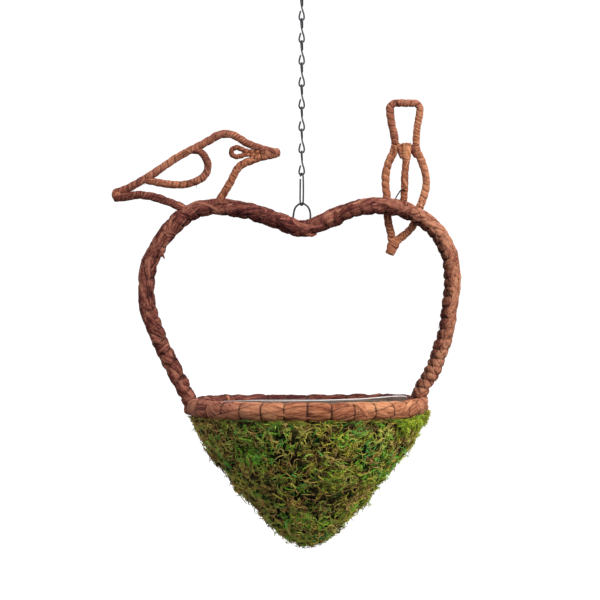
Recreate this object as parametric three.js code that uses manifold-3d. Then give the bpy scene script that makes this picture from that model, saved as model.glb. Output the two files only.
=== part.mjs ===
// A hanging flower basket: a moss-covered cone in a heart-shaped frame, with two
// wire birds, on a jack chain. Millimetres, +Z up, +X to the viewer's right.
// The origin is the seat inside the top crook of the S-hook, where it is hung up.
import * as THREE from 'three';
import { mergeVertices } from 'three/addons/utils/BufferGeometryUtils.js';
import Module from 'manifold-3d';

const wasm = await Module();
wasm.setup();

// ---- driving dimensions -------------------------------------------------
const FIT_GAP = 0.3;              // clearance kept between touching pieces

// suspension
const HOOK_WIRE_R = 1.5;
const HOOK_CROOK_R = 8.5;         // centreline radius of each crook
const HOOK_CROOK_SPACING = 22;    // between the two crook centres
const LINK_COUNT = 9;
const LINK_WIRE_R = 0.95;
const LINK_HALF_LENGTH = 14.9;    // waist to the top or bottom of the centreline
const LINK_HALF_WIDTH = 3.2;
const FIRST_LINK_YAW = 20;        // degrees, the chain untwists on its way down
const LINK_YAW_STEP = -2;
const CONNECTOR_WIRE_R = 0.9;
const CONNECTOR_LENGTH = 40;      // centreline
const CONNECTOR_HALF_WIDTH = 3.3;
const CONNECTOR_YAW = 32;
const HANGER_WIRE_R = 1.0;
const HANGER_HALF_WIDTH = 10.6;
const HANGER_RISE = 32;           // hanger top above the frame rod in the dip

// rim, measured from the rim's own centre
const RIM_SHIFT = 7.2;            // the cone hangs a little to the right
const RIM_R = 139;
const RIM_ROD_R = 2.5;
const RIM_SIDES = 40;
const RIM_WRAP_R = 11.2;
const RIM_WRAP_START = 4.5;       // degrees kept clear for the frame's ends
const LASHING_R = 13.2;           // round the rim rod
const LASHING_WIRE_R = 0.7;
const LASHING_PITCH = 11.25;      // degrees of rim per turn
const LASHING_TURNS = 14;

// frame
const FRAME_ROD_R = 2.5;
const FRAME_WRAP_R = 10.4;
const FRAME_WRAP_COUNT = 8;
const FRAME_DIP_HEIGHT = 223;     // frame rod in the dip, above the rim plane
const FRAME_FOOT_OFFSET = 6.6;    // frame rod stands outside the rim rod
const FRAME_FOOT_DEPTH = 9.7;     // its end, below the rim plane

// cone
const CONE_TOP = 15;              // moss starts this far below the rim plane
const CONE_DEPTH = 175;
const CONE_TOP_R = 147;
const MOSS_WALL = 16;             // on average: it is packed thicker on the left,
const MOSS_BIAS = 6;              // which brings the basket into balance under its hook
const CAGE_DEPTH = 24.8;          // cage wire centreline, inside the moss face
const CAGE_WIRE_R = 1.2;
const RIB_COUNT = 8;
const RIB_STEPS = 14;
const RIB_FIRST_ANGLE = -73.125;  // degrees round the rim from +X, between two lashings
const LINER_DEPTH = 30;
const LINER_WALL = 0.8;
const LINER_COLLAR_R = 124;
const LINER_COLLAR_TOP = 16;

// birds
const BIRD_ROD_R = 1.5;
const BIRD_ROD_STEPS = 64;
const BIRD_WRAP_R = 4.5;
const EYE_ROD_R = 0.8;
const EYE_WRAP_R = 2.3;
const BIRD_SETBACK = 15.6;        // right bird's plane behind the frame's
const TIE_WIRE_R = 0.8;

// ---- colours ------------------------------------------------------------
const DARK_STEEL = { color: 0x3a3a40, roughness: 0.42, metalness: 0.9 };
const ROD_STEEL = { color: 0x5b5350, roughness: 0.5, metalness: 0.8 };
const FRAME_BARK = { color: 0x8a4e40, roughness: 0.85, metalness: 0 };
const RIM_BARK = { color: 0xa5603f, roughness: 0.85, metalness: 0 };
const BIRD_BARK = { color: 0xa8694c, roughness: 0.85, metalness: 0 };
const TIE_IRON = { color: 0x2b211d, roughness: 0.6, metalness: 0.6 };
const MOSS_GREEN = { color: 0x56641e, roughness: 1, metalness: 0 };
const CLEAR_FILM = { color: 0xc9ccc8, roughness: 0.25, metalness: 0 };

// ---- helpers ------------------------------------------------------------
const degrees = (angle) => THREE.MathUtils.degToRad(angle);

function part(name, geometry, finish) {
  const mesh = new THREE.Mesh(geometry, new THREE.MeshStandardMaterial(finish));
  mesh.name = name;
  return mesh;
}

function polygon(radius, sides) {
  const points = [];
  for (let i = 0; i < sides; i += 1) {
    const angle = (2 * Math.PI * i) / sides;
    points.push(new THREE.Vector2(radius * Math.cos(angle), radius * Math.sin(angle)));
  }
  return points;
}

// A solid or hollow tube along a curve. bore is the radius of the hole, if any.
function tube(path, radius, sides, steps, bore = 0, boreSides = 5) {
  const section = new THREE.Shape(polygon(radius, sides));
  if (bore > 0) {
    section.holes.push(new THREE.Path(polygon(bore, boreSides).reverse()));
  }
  return new THREE.ExtrudeGeometry(section, {
    steps,
    bevelEnabled: false,
    extrudePath: path,
  });
}

function solidOf(geometry) {
  const plain = geometry.clone();
  plain.deleteAttribute('normal');
  plain.deleteAttribute('uv');
  const bare = mergeVertices(plain, 1e-4);
  return new wasm.Manifold(new wasm.Mesh({
    numProp: 3,
    vertProperties: new Float32Array(bare.attributes.position.array),
    triVerts: new Uint32Array(bare.index.array),
  }));
}

function cut(geometry, cutters) {
  let body = solidOf(geometry);
  for (const cutter of cutters.flat()) {
    body = body.subtract(solidOf(cutter));
  }
  const mesh = body.getMesh();
  const result = new THREE.BufferGeometry();
  result.setAttribute('position', new THREE.BufferAttribute(mesh.vertProperties, 3));
  result.setIndex(new THREE.BufferAttribute(mesh.triVerts, 1));
  result.computeVertexNormals();
  return result;
}

// A smooth curve through points [x, z] in the frame's plane, set back by y.
function flatCurve(points, y = 0) {
  const spots = points.map(([x, z]) => new THREE.Vector3(x, y, z));
  return new THREE.CatmullRomCurve3(spots, false, 'centripetal');
}

// The room a wire needs in the sleeve round it: its own path, made wider, and a
// short plug past each end.
function bore(points, radius, steps, y = 0) {
  const wide = radius + 2 * FIT_GAP;
  const plug = (end, next) => {
    const away = new THREE.Vector2(end[0] - next[0], end[1] - next[1]).setLength(1);
    const back = [end[0] - away.x, end[1] - away.y];
    return tube(flatCurve([back, [end[0] + away.x, end[1] + away.y]], y), wide, 4, 1);
  };
  return [
    tube(flatCurve(points, y), wide, 4, steps),
    plug(points[0], points[1]),
    plug(points.at(-1), points.at(-2)),
  ];
}

// The stretch of a curve between two fractions of its length.
class Stretch extends THREE.Curve {
  constructor(whole, from, to) {
    super();
    this.whole = whole;
    this.from = from;
    this.to = to;
  }

  getPoint(t, target = new THREE.Vector3()) {
    return this.whole.getPointAt(this.from + (this.to - this.from) * t, target);
  }
}

// A level arc round the rim's centre, angles in degrees from +X.
class RimArc extends THREE.Curve {
  constructor(start, end) {
    super();
    this.start = start;
    this.end = end;
  }

  getPoint(t, target = new THREE.Vector3()) {
    const angle = degrees(this.start + (this.end - this.start) * t);
    return target.set(RIM_SHIFT + RIM_R * Math.cos(angle), RIM_R * Math.sin(angle), 0);
  }
}

// Wire wound round the rim, starting at an angle in degrees from +X.
class Lashing extends THREE.Curve {
  constructor(start) {
    super();
    this.start = start;
  }

  getPoint(t, target = new THREE.Vector3()) {
    const turn = t * LASHING_TURNS;
    const round = degrees(this.start + turn * LASHING_PITCH);
    const reach = RIM_R + LASHING_R * Math.cos(2 * Math.PI * turn);
    const height = LASHING_R * Math.sin(2 * Math.PI * turn);
    return target.set(RIM_SHIFT + reach * Math.cos(round), reach * Math.sin(round), height);
  }
}

// ---- suspension ---------------------------------------------------------
function sHook() {
  const top = HOOK_WIRE_R - HOOK_CROOK_R;
  const bottom = top - HOOK_CROOK_SPACING;
  const points = [];
  for (let angle = 200; angle >= -20; angle -= 20) {
    const a = degrees(angle);
    points.push([HOOK_CROOK_R * Math.cos(a), top + HOOK_CROOK_R * Math.sin(a)]);
  }
  for (let angle = 160; angle <= 380; angle += 20) {
    const a = degrees(angle);
    points.push([HOOK_CROOK_R * Math.cos(a), bottom + HOOK_CROOK_R * Math.sin(a)]);
  }
  return part('s_hook', tube(flatCurve(points), HOOK_WIRE_R, 6, 28), DARK_STEEL);
}

const HOOK_BOTTOM = HOOK_WIRE_R - 2 * HOOK_CROOK_R - HOOK_CROOK_SPACING;

// One length of wire bent into two loops at right angles, both ends at the waist.
function linkGeometry() {
  const w = LINK_HALF_WIDTH;
  const h = LINK_HALF_LENGTH;
  const spots = [
    [0.5, -1.5, 2.4],
    [0.2, -0.9 * w, 0.57 * h],
    [0, -w, h - w],
    [0, -0.7 * w, h - 0.3 * w],
    [0, 0, h],
    [0, 0.7 * w, h - 0.3 * w],
    [0, w, h - w],
    [0.2, 0.9 * w, 0.47 * h],
    [0.6, 1.3, 2],
    [1.3, 0.4, -2],
    [0.9 * w, 0.2, -0.47 * h],
    [w, 0, w - h],
    [0.7 * w, 0, 0.3 * w - h],
    [0, 0, -h],
    [-0.7 * w, 0, 0.3 * w - h],
    [-w, 0, w - h],
    [-0.85 * w, 0, -0.54 * h],
    [-1.3, -0.3, -2.6],
  ].map(([x, y, z]) => new THREE.Vector3(x, y, z));
  const wire = new THREE.CatmullRomCurve3(spots, false, 'centripetal');
  return tube(wire, LINK_WIRE_R, 5, 23);
}

function chain() {
  const group = new THREE.Group();
  const shape = linkGeometry();
  const first = HOOK_BOTTOM + HOOK_WIRE_R + LINK_WIRE_R + FIT_GAP - LINK_HALF_LENGTH;
  const pitch = 2 * LINK_HALF_LENGTH - 2 * LINK_WIRE_R - FIT_GAP;
  for (let i = 0; i < LINK_COUNT; i += 1) {
    const link = part(`chain_link_${i + 1}`, shape, DARK_STEEL);
    link.position.z = first - i * pitch;
    link.rotation.z = degrees(FIRST_LINK_YAW + i * LINK_YAW_STEP);
    group.add(link);
  }
  group.userData.bottom = first - (LINK_COUNT - 1) * pitch - LINK_HALF_LENGTH;
  return group;
}

// A long link whose two ends meet beside its upper bend.
function connector(top) {
  const w = CONNECTOR_HALF_WIDTH;
  const points = [[0, w, -1.3 * w]];
  for (let angle = 45; angle <= 180; angle += 45) {
    const a = degrees(angle);
    points.push([0, w * Math.cos(a), w * Math.sin(a) - w]);
  }
  for (let angle = 180; angle <= 360; angle += 45) {
    const a = degrees(angle);
    points.push([0, w * Math.cos(a), w * Math.sin(a) + w - CONNECTOR_LENGTH]);
  }
  points.push([0, w, -1.3 * w - 2 * CONNECTOR_WIRE_R - FIT_GAP]);
  const spots = points.map(([x, y, z]) => new THREE.Vector3(x, y, z));
  const wire = new THREE.CatmullRomCurve3(spots, false, 'centripetal');
  const link = part('connecting_link', tube(wire, CONNECTOR_WIRE_R, 5, 28), DARK_STEEL);
  link.position.z = top;
  link.rotation.z = degrees(CONNECTOR_YAW);
  return link;
}

// ---- frame --------------------------------------------------------------
const HEART = flatCurve([
  [RIM_SHIFT - RIM_R - FRAME_FOOT_OFFSET, -FRAME_FOOT_DEPTH],
  [RIM_SHIFT - RIM_R - FRAME_FOOT_OFFSET - 1, 6],
  [-152, 33],
  [-170, 66],
  [-184, 98],
  [-193.5, 133],
  [-191, 177],
  [-179, 203],
  [-161, 226],
  [-140, 243],
  [-119, 250],
  [-96, 250],
  [-66, 245],
  [-27, 232],
  [0, FRAME_DIP_HEIGHT],
  [26, 231.5],
  [60, 246.5],
  [91, 252],
  [122, 249],
  [148, 237.5],
  [169, 219],
  [183, 194],
  [188, 165],
  [184, 114],
  [176, 80],
  [164, 46],
  [RIM_SHIFT + RIM_R + FRAME_FOOT_OFFSET + 1, 14],
  [RIM_SHIFT + RIM_R + FRAME_FOOT_OFFSET, -FRAME_FOOT_DEPTH],
]);
HEART.arcLengthDivisions = 800;

const HANGER_POINTS = [
  [-HANGER_HALF_WIDTH - 0.7, FRAME_DIP_HEIGHT + 7.2],
  [-HANGER_HALF_WIDTH, FRAME_DIP_HEIGHT + 15],
  [-0.72 * HANGER_HALF_WIDTH, FRAME_DIP_HEIGHT + HANGER_RISE - 5],
  [0, FRAME_DIP_HEIGHT + HANGER_RISE],
  [0.74 * HANGER_HALF_WIDTH, FRAME_DIP_HEIGHT + HANGER_RISE - 4.6],
  [HANGER_HALF_WIDTH + 0.2, FRAME_DIP_HEIGHT + 19],
  [HANGER_HALF_WIDTH - 0.4, FRAME_DIP_HEIGHT + 7],
];

// ---- left bird, seen from the side --------------------------------------
const LEFT_FOOT = [-101, 253.8];
const LEFT_CHEST_POINTS = [
  [-96, 269],
  [-88.5, 282.5],
  [-82, 295],
  [-75.5, 303.5],
  [-64, 308.5],
  [-50, 312],
];
const LEFT_BACK_POINTS = [
  [-56, 326.5],
  [-77, 336.7],
  [-96, 341.5],
  [-115, 336.3],
  [-135, 324.5],
  [-161, 310],
  [-190, 292],
  [-214, 279],
];
const LEFT_TAIL_POINTS = [
  [-221, 264],
  [-203, 266],
  [-184.5, 263.8],
  [-166, 257.5],
];
const LEFT_TAIL_END = [-147, 244];
const LEFT_BEAK_TIP = [-34, 319];
const LEFT_TAIL_TIP = [-233.5, 267];

const LEFT_OUTLINE_POINTS = [
  LEFT_FOOT,
  ...LEFT_CHEST_POINTS,
  [-39, 315.6],
  LEFT_BEAK_TIP,
  [-39, 322.2],
  ...LEFT_BACK_POINTS,
  [-230, 270.9],
  LEFT_TAIL_TIP,
  [-230.5, 263.4],
  ...LEFT_TAIL_POINTS,
  LEFT_TAIL_END,
];

const LEFT_WING_POINTS = [
  [-128.5, 324.6],
  [-124, 317.5],
  [-119.8, 310],
  [-118, 300.5],
  [-122, 289.5],
  [-134.5, 282],
  [-151, 278.8],
  [-168, 279.5],
  [-181, 282],
  [-190.5, 285.2],
];

const LEFT_EYE_POINTS = [
  [-50, 321.4],
  [-66, 321.4],
  [-76, 323.4],
  [-84, 323.2],
  [-88.3, 319],
  [-84, 314.6],
  [-76, 314.4],
  [-66, 316.2],
  [-50, 316.2],
];
const LEFT_BEAK_BASE = -57;
const LEFT_BEAK_HEIGHT = 318.7;
const BEAK_BEVEL = 1.2;

// ---- right bird, seen from behind ---------------------------------------
const RIGHT_WAIST_LEFT = [116.6, 325];
const RIGHT_WAIST_RIGHT = [143.5, 325];
const RIGHT_TAIL_POINTS = [
  [114.2, 342],
  [110.2, 362],
  [111.5, 375.5],
  [127, 380.5],
  [142.5, 379.6],
  [147.2, 370],
  [144.6, 356],
  [143.4, 340],
];
const RIGHT_LEFT_POINTS = [
  [112.5, 206],
  [108.8, 224],
  [107.2, 240],
  [106, 256],
  [105.4, 272],
  [106, 290],
  [109, 304],
  [114, 315],
];
const RIGHT_RIGHT_POINTS = [
  [147, 315],
  [151.5, 304],
  [155, 290],
  [155, 275],
  [150, 257],
  [143, 237],
  [138.5, 222],
  [130, 213.5],
];
const RIGHT_OUTLINE_POINTS = [
  [111.5, 195],
  ...RIGHT_LEFT_POINTS,
  RIGHT_WAIST_LEFT,
  ...RIGHT_TAIL_POINTS,
  RIGHT_WAIST_RIGHT,
  ...RIGHT_RIGHT_POINTS,
  [121, 206.5],
  [116.2, 199],
];

const RIGHT_CENTRE_POINTS = [
  [131.5, 320],
  [129.6, 300],
  [128.6, 280],
  [127.8, 246],
];
const RIGHT_WAIST = { x: 130, z: 322, width: 36, depth: 9.8, height: 12 };

// ---- cone profile -------------------------------------------------------
const CONE_FACE = new THREE.SplineCurve([
  new THREE.Vector2(CONE_TOP_R, -CONE_TOP),
  new THREE.Vector2(135, -41),
  new THREE.Vector2(104, -81),
  new THREE.Vector2(62, -129),
  new THREE.Vector2(30, -160),
  new THREE.Vector2(0, -CONE_DEPTH),
]);

// Points down the cone, a given depth inside its outer face, from its top to its axis.
function coneLayer(depth, count) {
  const points = [];
  for (let i = 0; i <= count; i += 1) {
    const face = CONE_FACE.getPoint(i / count);
    const along = CONE_FACE.getTangent(i / count);
    const inward = new THREE.Vector2(along.y, -along.x);
    points.push(face.addScaledVector(inward, depth));
  }
  while (points[1].y > -CONE_TOP) {
    points.shift();
  }
  const share = (points[0].y + CONE_TOP) / (points[0].y - points[1].y);
  points[0].lerp(points[1], share);
  const tip = new THREE.Vector2(0, depth - CONE_DEPTH);
  return [...points.filter((p) => p.x > 2), tip];
}

function shiftedLathe(points, sides) {
  const geometry = new THREE.LatheGeometry(points, sides);
  geometry.rotateX(Math.PI / 2);
  geometry.translate(RIM_SHIFT, 0, 0);
  return geometry;
}

// Everything in the cone below a given depth from its face, closed by a flat top.
function coneSolid(depth, extraTop) {
  const layer = coneLayer(depth, 7);
  const lid = layer[0].clone();
  lid.y += extraTop;
  const rim = extraTop > 0 ? [new THREE.Vector2(0, lid.y), lid] : [new THREE.Vector2(0, lid.y)];
  return shiftedLathe([...rim, ...layer].reverse(), 24);
}

function ringGeometry(radius, height, wire, sides) {
  const geometry = new THREE.TorusGeometry(radius, wire, 5, sides);
  geometry.translate(RIM_SHIFT, 0, height);
  return geometry;
}

function ribCurve(angle) {
  const a = degrees(angle);
  const layer = coneLayer(CAGE_DEPTH, 10).slice(1, -1);
  const profile = [
    new THREE.Vector2(RIM_R - 1.5, -RIM_ROD_R - CAGE_WIRE_R - FIT_GAP),
    new THREE.Vector2(RIM_R - 10, -8.5),
    new THREE.Vector2(RIM_R - 19.5, -15.5),
    ...layer,
  ];
  const spots = profile.map((p) => new THREE.Vector3(
    RIM_SHIFT + p.x * Math.cos(a),
    p.x * Math.sin(a),
    p.y,
  ));
  return new THREE.CatmullRomCurve3(spots, false, 'centripetal');
}

// ---- sub-assemblies -----------------------------------------------------
// The frame's sleeve comes in equal lengths; number 1 starts at the left foot.
function frameCover(number, grow = 0, boreRadius = 0) {
  const gap = FIT_GAP / HEART.getLength();
  const from = (number - 1) / FRAME_WRAP_COUNT + (number > 1 ? gap / 2 : 0);
  const to = number / FRAME_WRAP_COUNT - (number < FRAME_WRAP_COUNT ? gap / 2 : 0);
  return tube(new Stretch(HEART, from, to), FRAME_WRAP_R + grow, 9, 6, boreRadius);
}

function frameParts() {
  const rimBore = ringGeometry(RIM_R, 0, RIM_ROD_R + FIT_GAP, RIM_SIDES);
  const hangerBore = bore(HANGER_POINTS, HANGER_WIRE_R, 14);
  const birdBore = bore(LEFT_OUTLINE_POINTS, BIRD_ROD_R, BIRD_ROD_STEPS);
  const cutters = {
    1: [rimBore],
    3: [birdBore],
    4: [birdBore, hangerBore],
    5: [hangerBore],
    8: [rimBore],
  };
  const parts = [
    part('heart_frame_rod', tube(HEART, FRAME_ROD_R, 5, 48), ROD_STEEL),
    part('hanger_loop', tube(flatCurve(HANGER_POINTS), HANGER_WIRE_R, 6, 14), DARK_STEEL),
  ];
  for (let i = 1; i <= FRAME_WRAP_COUNT; i += 1) {
    let cover = frameCover(i, 0, FRAME_ROD_R + 2 * FIT_GAP);
    if (cutters[i]) {
      cover = cut(cover, cutters[i]);
    }
    parts.push(part(`frame_wrap_${i}`, cover, FRAME_BARK));
  }
  return parts;
}

function rimParts(ribs) {
  const parts = [
    part('rim_hoop', ringGeometry(RIM_R, 0, RIM_ROD_R, RIM_SIDES), ROD_STEEL),
    part('rim_lashing_front', tube(new Lashing(-180 + LASHING_PITCH), LASHING_WIRE_R, 3,
      LASHING_TURNS * 8), TIE_IRON),
    part('rim_lashing_back', tube(new Lashing(LASHING_PITCH), LASHING_WIRE_R, 3,
      LASHING_TURNS * 8), TIE_IRON),
  ];
  const bores = ribs.map((rib) => tube(rib, CAGE_WIRE_R + 2 * FIT_GAP, 4, RIB_STEPS));
  const quarters = [
    ['rim_wrap_back_right', RIM_WRAP_START, 89.93],
    ['rim_wrap_back_left', 90.07, 180 - RIM_WRAP_START],
    ['rim_wrap_front_left', 180 + RIM_WRAP_START, 269.93],
    ['rim_wrap_front_right', 270.07, 360 - RIM_WRAP_START],
  ];
  for (const [name, start, end] of quarters) {
    const cover = tube(new RimArc(start, end), RIM_WRAP_R, 10, 9, RIM_ROD_R + 4 * FIT_GAP, 5);
    parts.push(part(name, cut(cover, bores), RIM_BARK));
  }
  return parts;
}

function coneParts(ribs) {
  const parts = ribs.map((rib, i) => part(
    `cage_rib_${i + 1}`,
    tube(rib, CAGE_WIRE_R, 4, RIB_STEPS),
    ROD_STEEL,
  ));
  const hoops = coneLayer(CAGE_DEPTH + 2 * CAGE_WIRE_R + FIT_GAP, 12);
  parts.push(part('cage_hoop_upper', ringGeometry(hoops[4].x, hoops[4].y,
    CAGE_WIRE_R, 26), ROD_STEEL));
  parts.push(part('cage_hoop_lower', ringGeometry(hoops[8].x, hoops[8].y,
    CAGE_WIRE_R, 20), ROD_STEEL));
  const moss = cut(coneSolid(0, 0), [coneSolid(MOSS_WALL, 2).translate(MOSS_BIAS, 0, 0)]);
  parts.push(part('moss_cover', moss, MOSS_GREEN));
  const collar = (radius) => [
    new THREE.Vector2(radius, LINER_COLLAR_TOP),
    new THREE.Vector2(radius, -5),
  ];
  const linerOuter = [...collar(LINER_COLLAR_R), ...coneLayer(LINER_DEPTH, 5)];
  const linerInner = [
    ...collar(LINER_COLLAR_R - LINER_WALL),
    ...coneLayer(LINER_DEPTH + LINER_WALL, 5),
  ].reverse();
  parts.push(part('plastic_liner', shiftedLathe([...linerInner, ...linerOuter].reverse(), 22),
    CLEAR_FILM));
  return parts;
}

// A strip-wound sleeve on a bird's rod, cut clear of the rods and of its neighbours.
function sleeve(points, y, radius, steps, cutters) {
  return cut(tube(flatCurve(points, y), radius, 7, steps), cutters);
}

function leftBirdParts() {
  const outline = flatCurve(LEFT_OUTLINE_POINTS);
  const wing = flatCurve(LEFT_WING_POINTS);
  const eye = flatCurve(LEFT_EYE_POINTS);
  const rodBore = bore(LEFT_OUTLINE_POINTS, BIRD_ROD_R, BIRD_ROD_STEPS);
  const wingBore = bore(LEFT_WING_POINTS, BIRD_ROD_R, 14);
  const eyeBore = bore(LEFT_EYE_POINTS, EYE_ROD_R, 16);
  const clear = BIRD_WRAP_R + FIT_GAP;
  const frameClear = [frameCover(3, FIT_GAP), frameCover(4, FIT_GAP)];
  const tipAt = [LEFT_TAIL_TIP[0] + 0.5, LEFT_TAIL_TIP[1] - 0.5];
  const tip = (grow) => {
    const ball = new THREE.SphereGeometry(6.4 + grow, 8, 6);
    ball.scale(1, 0.8, 1);
    ball.translate(tipAt[0], 0, tipAt[1]);
    return ball;
  };
  const beak = (grow) => {
    const half = [
      [LEFT_BEAK_BASE - grow, 12.4 + grow],
      [-45, 8.8 + grow],
      [-31, 4.6 + grow],
      [-27.2 + grow, 1.8 + grow],
    ];
    const lower = half.map(([x, z]) => new THREE.Vector2(x, LEFT_BEAK_HEIGHT - z));
    const upper = half.map(([x, z]) => new THREE.Vector2(x, LEFT_BEAK_HEIGHT + z)).reverse();
    const depth = 2 * (BIRD_WRAP_R - BEAK_BEVEL);
    const block = new THREE.ExtrudeGeometry(new THREE.Shape([...lower, ...upper]), {
      depth: depth + 2 * grow,
      bevelSize: BEAK_BEVEL,
      bevelOffset: -BEAK_BEVEL,
      bevelThickness: BEAK_BEVEL,
      bevelSegments: 1,
    });
    block.translate(0, 0, -depth / 2 - grow);
    block.rotateX(Math.PI / 2);
    return block;
  };
  const backPoints = [[LEFT_BEAK_BASE + 3, 325.9], ...LEFT_BACK_POINTS, [-228, 271.5]];
  const chestPoints = [[-101, 257], ...LEFT_CHEST_POINTS];
  const tailPoints = [[-228, 263.6], ...LEFT_TAIL_POINTS, LEFT_TAIL_END];
  const back = tube(flatCurve(backPoints), clear, 7, 16);
  const chest = tube(flatCurve(chestPoints), clear, 7, 9);
  const r = BIRD_WRAP_R;
  return [
    part('left_bird_rod', tube(outline, BIRD_ROD_R, 4, BIRD_ROD_STEPS), ROD_STEEL),
    part('left_bird_wing_rod', tube(wing, BIRD_ROD_R, 4, 14), ROD_STEEL),
    part('left_bird_eye_rod', tube(eye, EYE_ROD_R, 4, 16), ROD_STEEL),
    part('left_bird_back_wrap',
      sleeve(backPoints, 0, r, 16, [rodBore, wingBore, beak(FIT_GAP), tip(FIT_GAP)]), BIRD_BARK),
    part('left_bird_chest_wrap',
      sleeve(chestPoints, 0, r, 9, [rodBore, beak(FIT_GAP), frameClear]), BIRD_BARK),
    part('left_bird_tail_wrap',
      sleeve(tailPoints, 0, r, 9, [rodBore, tip(FIT_GAP), back, frameClear]), BIRD_BARK),
    part('left_bird_tail_tip', cut(tip(0), [rodBore]), BIRD_BARK),
    part('left_bird_wing_wrap',
      sleeve(LEFT_WING_POINTS, 0, r, 12, [wingBore, back]), BIRD_BARK),
    part('left_bird_eye_wrap',
      sleeve(LEFT_EYE_POINTS, 0, EYE_WRAP_R, 14, [eyeBore, back, chest, beak(FIT_GAP)]),
      BIRD_BARK),
    part('left_bird_beak', cut(beak(0), [rodBore, eyeBore]), BIRD_BARK),
  ];
}

function rightBirdParts() {
  const y = BIRD_SETBACK;
  const r = BIRD_WRAP_R;
  const rodBore = bore(RIGHT_OUTLINE_POINTS, BIRD_ROD_R, BIRD_ROD_STEPS, y);
  const centreBore = bore(RIGHT_CENTRE_POINTS, BIRD_ROD_R, 6, y);
  const waist = (grow) => {
    const { x, z, width, depth, height } = RIGHT_WAIST;
    const block = new THREE.BoxGeometry(width + 2 * grow, depth + 2 * grow, height + 2 * grow);
    block.translate(x, y, z);
    return block;
  };
  const beak = (grow) => {
    const stub = new THREE.CylinderGeometry(6 + grow, 5 + grow, 19 + 2 * grow, 9);
    stub.rotateX(Math.PI / 2);
    stub.rotateY(degrees(24));
    stub.translate(113.8, y, 200);
    return stub;
  };
  const leftPoints = [...RIGHT_LEFT_POINTS, RIGHT_WAIST_LEFT];
  const rightPoints = [RIGHT_WAIST_RIGHT, ...RIGHT_RIGHT_POINTS, [121, 206.5]];
  const tailPoints = [RIGHT_WAIST_LEFT, ...RIGHT_TAIL_POINTS, RIGHT_WAIST_RIGHT];
  const left = tube(flatCurve(leftPoints, y), r + FIT_GAP, 7, 11);
  const waistClear = waist(FIT_GAP);
  const beakClear = beak(FIT_GAP);
  return [
    part('right_bird_rod', tube(flatCurve(RIGHT_OUTLINE_POINTS, y), BIRD_ROD_R, 4, BIRD_ROD_STEPS),
      ROD_STEEL),
    part('right_bird_centre_rod', tube(flatCurve(RIGHT_CENTRE_POINTS, y), BIRD_ROD_R, 4, 6),
      ROD_STEEL),
    part('right_bird_tail_wrap', sleeve(tailPoints, y, r, 14, [rodBore, waistClear]),
      BIRD_BARK),
    part('right_bird_left_wrap',
      sleeve(leftPoints, y, r, 11, [rodBore, waistClear, beakClear]), BIRD_BARK),
    part('right_bird_right_wrap',
      sleeve(rightPoints, y, r, 11, [rodBore, waistClear, beakClear, left]), BIRD_BARK),
    part('right_bird_centre_wrap',
      sleeve(RIGHT_CENTRE_POINTS, y, r, 7, [centreBore, waistClear]), BIRD_BARK),
    part('right_bird_waist_wrap', cut(waist(0), [rodBore, centreBore]), BIRD_BARK),
    part('right_bird_beak', cut(beak(0), [rodBore]), BIRD_BARK),
  ];
}

// A wire loop slung slantwise round the frame and the bird's leg behind it.
function tieParts() {
  const loop = [
    [0.9, -12.6, 1.6],
    [5, -9, 9.2],
    [7.4, 2, 12.8],
    [7.6, 13, 8.4],
    [4.5, 20.8, 3],
    [0, 22.6, 0],
    [-4.5, 20.8, -3],
    [-7.6, 13, -8.4],
    [-7.4, 2, -12.8],
    [-5, -9, -9.2],
    [-0.9, -12.6, -1.6],
  ];
  const places = [
    { name: 'bird_tie_left', x: 106.6, z: 251.2, lean: 4, hand: -1 },
    { name: 'bird_tie_right', x: 144.4, z: 239.4, lean: 34, hand: 1 },
  ];
  return places.map(({ name, x, z, lean, hand }) => {
    const spots = loop.map(([along, back, up]) => new THREE.Vector3(hand * along, back, up));
    const wire = new THREE.CatmullRomCurve3(spots, false, 'centripetal');
    const tie = part(name, tube(wire, TIE_WIRE_R, 4, 22), TIE_IRON);
    tie.position.set(x, 0, z);
    tie.rotation.y = degrees(lean);
    return tie;
  });
}

// ---- assembly -----------------------------------------------------------
const object = new THREE.Group();
object.add(sHook());
const links = chain();
object.add(links);
const connectorTop = links.userData.bottom + LINK_WIRE_R + CONNECTOR_WIRE_R + FIT_GAP;
object.add(connector(connectorTop));

const hangerGap = 2 * FIT_GAP;    // the two wires cross on a slant
const hangerReach = CONNECTOR_WIRE_R + HANGER_WIRE_R + hangerGap;
const hangerTop = connectorTop - CONNECTOR_LENGTH + hangerReach;
const basket = new THREE.Group();
basket.position.z = hangerTop - HANGER_RISE - FRAME_DIP_HEIGHT;
const ribs = [];
for (let i = 0; i < RIB_COUNT; i += 1) {
  ribs.push(ribCurve(RIB_FIRST_ANGLE + (360 / RIB_COUNT) * i));
}
basket.add(...frameParts(), ...rimParts(ribs), ...coneParts(ribs));
basket.add(...leftBirdParts(), ...rightBirdParts(), ...tieParts());
object.add(basket);

export default object;
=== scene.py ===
"""A moss hanging basket: bark-wrapped heart frame, two bark-wrapped birds, a film
liner and a jack chain. Metres, +Z up, +X to the viewer's right, seen from -Y.
Sizes written as millimetres below are turned into metres when a mesh is made."""
import math
from dataclasses import dataclass

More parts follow.
